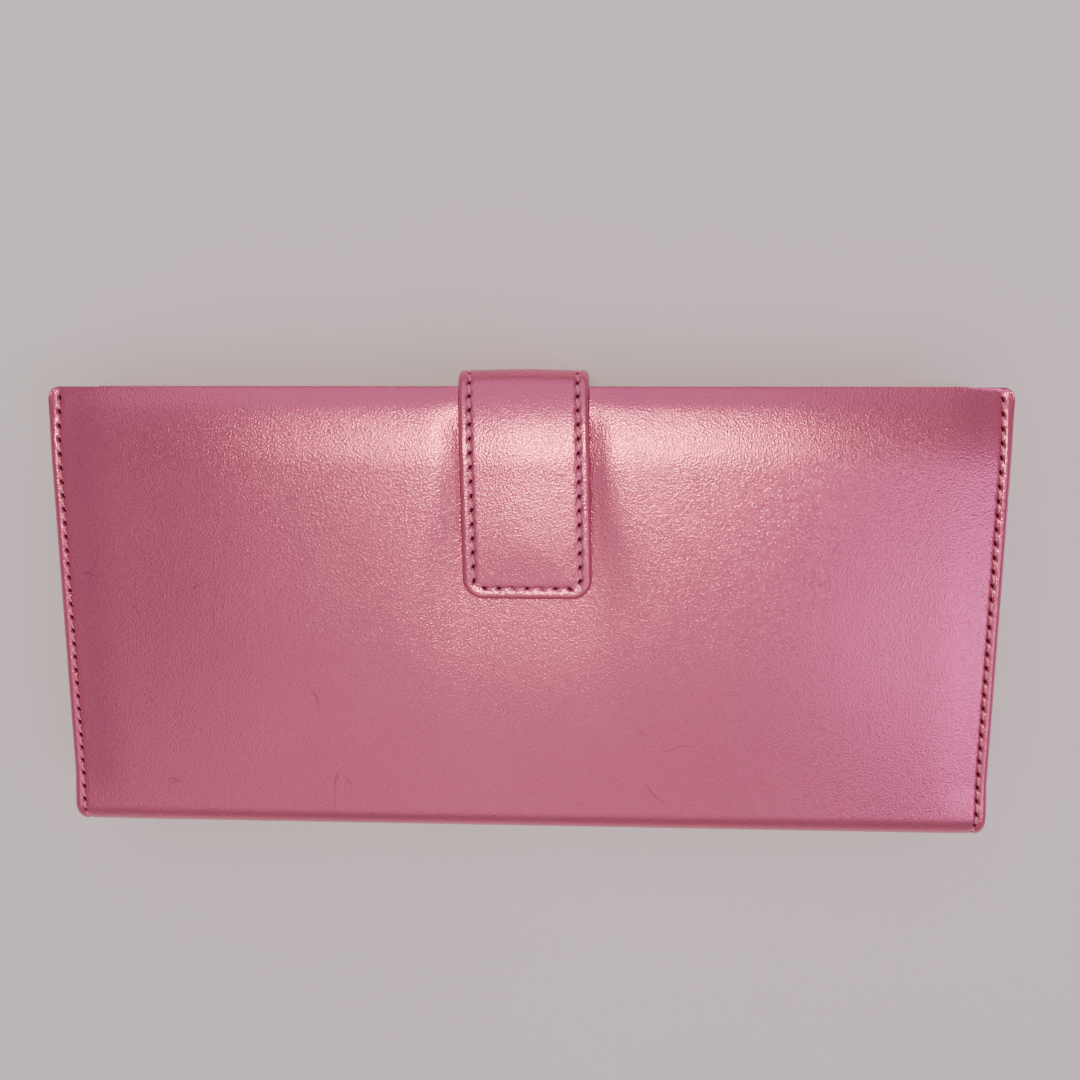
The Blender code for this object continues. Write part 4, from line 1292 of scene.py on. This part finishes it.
# %% [markdown]
# The inside of the spine is a strip of lining leather over a thin board, which shows when the
# wallet lies open. It stands upright between the halves, so it is the same pad as the others
# laid on its side.
# %% The spine's lining
def upright_sheet(name, node_name, body, material):
    """A pad facing +Y: rows run up Z and the good face looks into the wallet."""
    low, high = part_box(node_name)
    half, tall, half_thick = high.x, high.z - low.z, (high.y - low.y) / 2
    edge = half_thick * (1 - np.cos(np.linspace(0, np.pi / 2, 5)))
    border = np.concatenate([edge, np.arange(0.5, 2.6, 0.3) * MM])
    rows = np.concatenate([border, np.linspace(3 * MM, tall - 3 * MM, 12), tall - border[::-1]]) + low.z
    across = np.concatenate([border, np.linspace(3 * MM, half, 30)])
    x = np.repeat(np.concatenate([across - half, (half - across)[-2::-1]])[None, :], len(rows), axis=0)
    z = np.repeat(rows[:, None], x.shape[1], axis=1)
    inside = np.minimum(half - np.abs(x), np.minimum(z - low.z, high.z - z))
    fade = quarter(inside, half_thick)
    wave = 0.10 * MM * np.sin(x / (7 * MM)) * smooth(inside, 0, 4 * MM)
    y_middle = (low.y + high.y) / 2
    good, back = y_middle + (half_thick + wave) * fade, y_middle - half_thick * fade
    good, back = (np.stack([x, y, z], -1) for y in (good, back))
    obj = make_shell(name, good, back, True, material, rim=(np.zeros_like(x), np.zeros_like(x)))
    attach(obj, body)
    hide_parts(node_name)
    return obj


spine_strip = upright_sheet("spine_lining_strip", "spine_lining", "spine", inner_leather)
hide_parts("spine_board")


# %% [markdown]
# The snap's two halves are turned parts: a stud that stands on the front cover and a socket on
# the underside of the tab. A turned part is its profile carried round the axis.
# %% The snap
def turned(name, profile, material, body, sides=48):
    """A profile of (radius, height) points turned about the snap's axis, its ends closed."""
    r, h = np.array(profile, dtype=float).T
    a = np.linspace(0, 2 * np.pi, sides, endpoint=False)
    points = np.stack(
        [r[:, None] * np.cos(a), SNAP_Y + r[:, None] * np.sin(a), h[:, None] + 0 * a[None, :]], -1
    )
    index = np.arange(r.size * sides).reshape(r.size, sides)
    for row in (0, -1):
        if r[row] < 1e-6:
            index[row] = index[row, 0]
    if r[0] >= 1e-6:
        index = np.concatenate([index, index[:1]], axis=0)
    index = wrapped(index)
    obj = make_piece(name, points, quads(index, True), material, sharp=40)
    drop_loose(obj)
    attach(obj, body)
    return obj


def rounded_profile(corners, radius=0.12 * MM, steps=4):
    """Rounds a profile's corners: each becomes a short curve between points near it."""
    corners = np.array(corners, dtype=float)
    made = [corners[0]]
    for before, here, after in zip(corners[:-2], corners[1:-1], corners[2:]):
        start = here + (before - here) * min(0.45, radius / np.linalg.norm(before - here))
        stop = here + (after - here) * min(0.45, radius / np.linalg.norm(after - here))
        t = np.linspace(0, 1, steps)[:, None]
        made.extend((1 - t) ** 2 * start + 2 * t * (1 - t) * here + t**2 * stop)
    made.append(corners[-1])
    return np.array(made)


def above_face(points):
    """Profile points given in millimetres, with heights from the front face."""
    return [(r * MM, THICK + h * MM) for r, h in points]


stud_profile = above_face(
    [(0, 0.9), (1.6, 0.9), (2.2, 0.5), (2.2, 0.2), (1.8, -0.1), (1.8, -0.35)]
    + [(5.0, -0.45), (5.5, -0.6), (5.5, -1.0), (0, -1.0)]
)
stud = turned("snap_stud_turned", rounded_profile(stud_profile), gold, "front_half")
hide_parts("snap_stud")
socket_profile = above_face(
    [(3.0, 1.0), (5.6, 1.0), (6.0, 0.6), (6.0, 0.2), (5.6, -0.1), (4.6, -0.1)]
    + [(4.2, 0.15), (3.4, 0.15), (3.0, -0.1), (2.7, -0.05), (2.7, 0.7)]
)
socket = turned("snap_socket_turned", rounded_profile(socket_profile), gold, "strap_tab")
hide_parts("snap_socket")

# %% [markdown]
# A few solids stay as the frame gives them, because they are closed in between the leathers:
# the stud's base and the cap under the tab's top leather. They still get their metal.
# %% Materials for the frame's own nodes
def dress(node_name, material):
    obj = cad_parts[node_name]
    obj.data.materials.clear()
    obj.data.materials.append(material)


plated, tree, shader = new_material("plated_steel")
cloud = noise(tree, node(tree, "TexCoord").outputs["Object"], 900.0).outputs["Fac"]
tree.links.new(mix(tree, cloud, (0.80, 0.60, 0.40), (0.66, 0.48, 0.32)), shader.inputs["Base Color"])
shader.inputs["Metallic"].default_value = 1.0
shader.inputs["Roughness"].default_value = 0.3
for hidden in ("snap_stud_base", "snap_cap"):
    dress(hidden, plated)

# %% [markdown]
# The wallet lies on a plain pale floor. A wide soft lamp hangs almost straight above, a little
# warm. Three larger and weaker ones fill it from the right, the far side and the near side, and
# an even light from all round, a little cooler, softens the shadows.
# %% Floor and lights
def make_floor():
    reach = 2.0
    points = np.array([[-reach, -reach, 0], [reach, -reach, 0], [reach, reach, 0], [-reach, reach, 0]])
    material, tree, shader = new_material("pale_floor")
    place = node(tree, "TexCoord").outputs["Object"]
    speck = noise(tree, place, 8.0, ("Detail", 2.0)).outputs["Fac"]
    tone = mix(tree, speck, (0.72, 0.68, 0.62), (0.78, 0.75, 0.70))
    tree.links.new(tone, shader.inputs["Base Color"])
    shader.inputs["Roughness"].default_value = 0.75
    floor = make_piece("floor", points, np.array([[0, 1, 2, 3]]), material)


def make_lamp(name, place, aim, size, power, colour):
    lamp = bpy.data.lights.new(name, "AREA")
    lamp.shape = "DISK"
    lamp.size, lamp.energy, lamp.color = size, power, colour
    obj = bpy.data.objects.new(name, lamp)
    obj.location = place
    obj.rotation_euler = (Vector(aim) - Vector(place)).to_track_quat("-Z", "Y").to_euler()
    bpy.context.scene.collection.objects.link(obj)


make_floor()
make_lamp("overhead", (0.0, 0.15, 1.0), (0, 0, 0), 0.16, 5.0, (1.0, 0.86, 0.70))
make_lamp("window", (0.60, -0.24, 0.85), (0.05, 0, 0), 0.45, 1.9, (0.75, 0.45, 1.0))
make_lamp("back", (-0.12, 0.95, 0.95), (0, 0.04, 0), 1.4, 4.0, (0.85, 0.62, 1.0))
make_lamp("fill", (-0.10, -0.50, 1.0), (0, -0.02, 0), 1.0, 1.40, (1.0, 0.86, 0.92))
world = bpy.data.worlds.new("room")
world.use_nodes = True
tree = world.node_tree
height = node(tree, "SeparateXYZ", ("Vector", node(tree, "TexCoord").outputs["Generated"])).outputs["Z"]
stops = [(0.0, (0.50, 0.49, 0.51)), (0.30, (0.30, 0.29, 0.34))]
stops += [(0.80, (0.32, 0.31, 0.39)), (1.0, (0.36, 0.35, 0.42))]
sky = ramp(tree, height, stops)
tree.links.new(sky, tree.nodes["Background"].inputs["Color"])
tree.nodes["Background"].inputs["Strength"].default_value = 1.05
bpy.context.scene.world = world

# %% [markdown]
# The camera looks down on the front cover from a hand's height, a little towards the opening
# edge. It stands close and its lens is wide, so the near edge of the wallet looks wider.
# %% The camera
camera_data = bpy.data.cameras.new("camera")
camera_data.sensor_width = 36.0
camera_data.lens = 33.33
camera = bpy.data.objects.new("camera", camera_data)
turn = Matrix.Identity(3)
for angle, axis in ((0.16091, "X"), (-0.03936, "Y"), (-0.00091, "Z")):
    turn = turn @ Matrix.Rotation(angle, 3, axis)
camera.matrix_world = Matrix.Translation((0.0112, 0.0478, 0.2181)) @ turn.transposed().to_4x4()
bpy.context.scene.collection.objects.link(camera)
bpy.context.scene.camera = camera
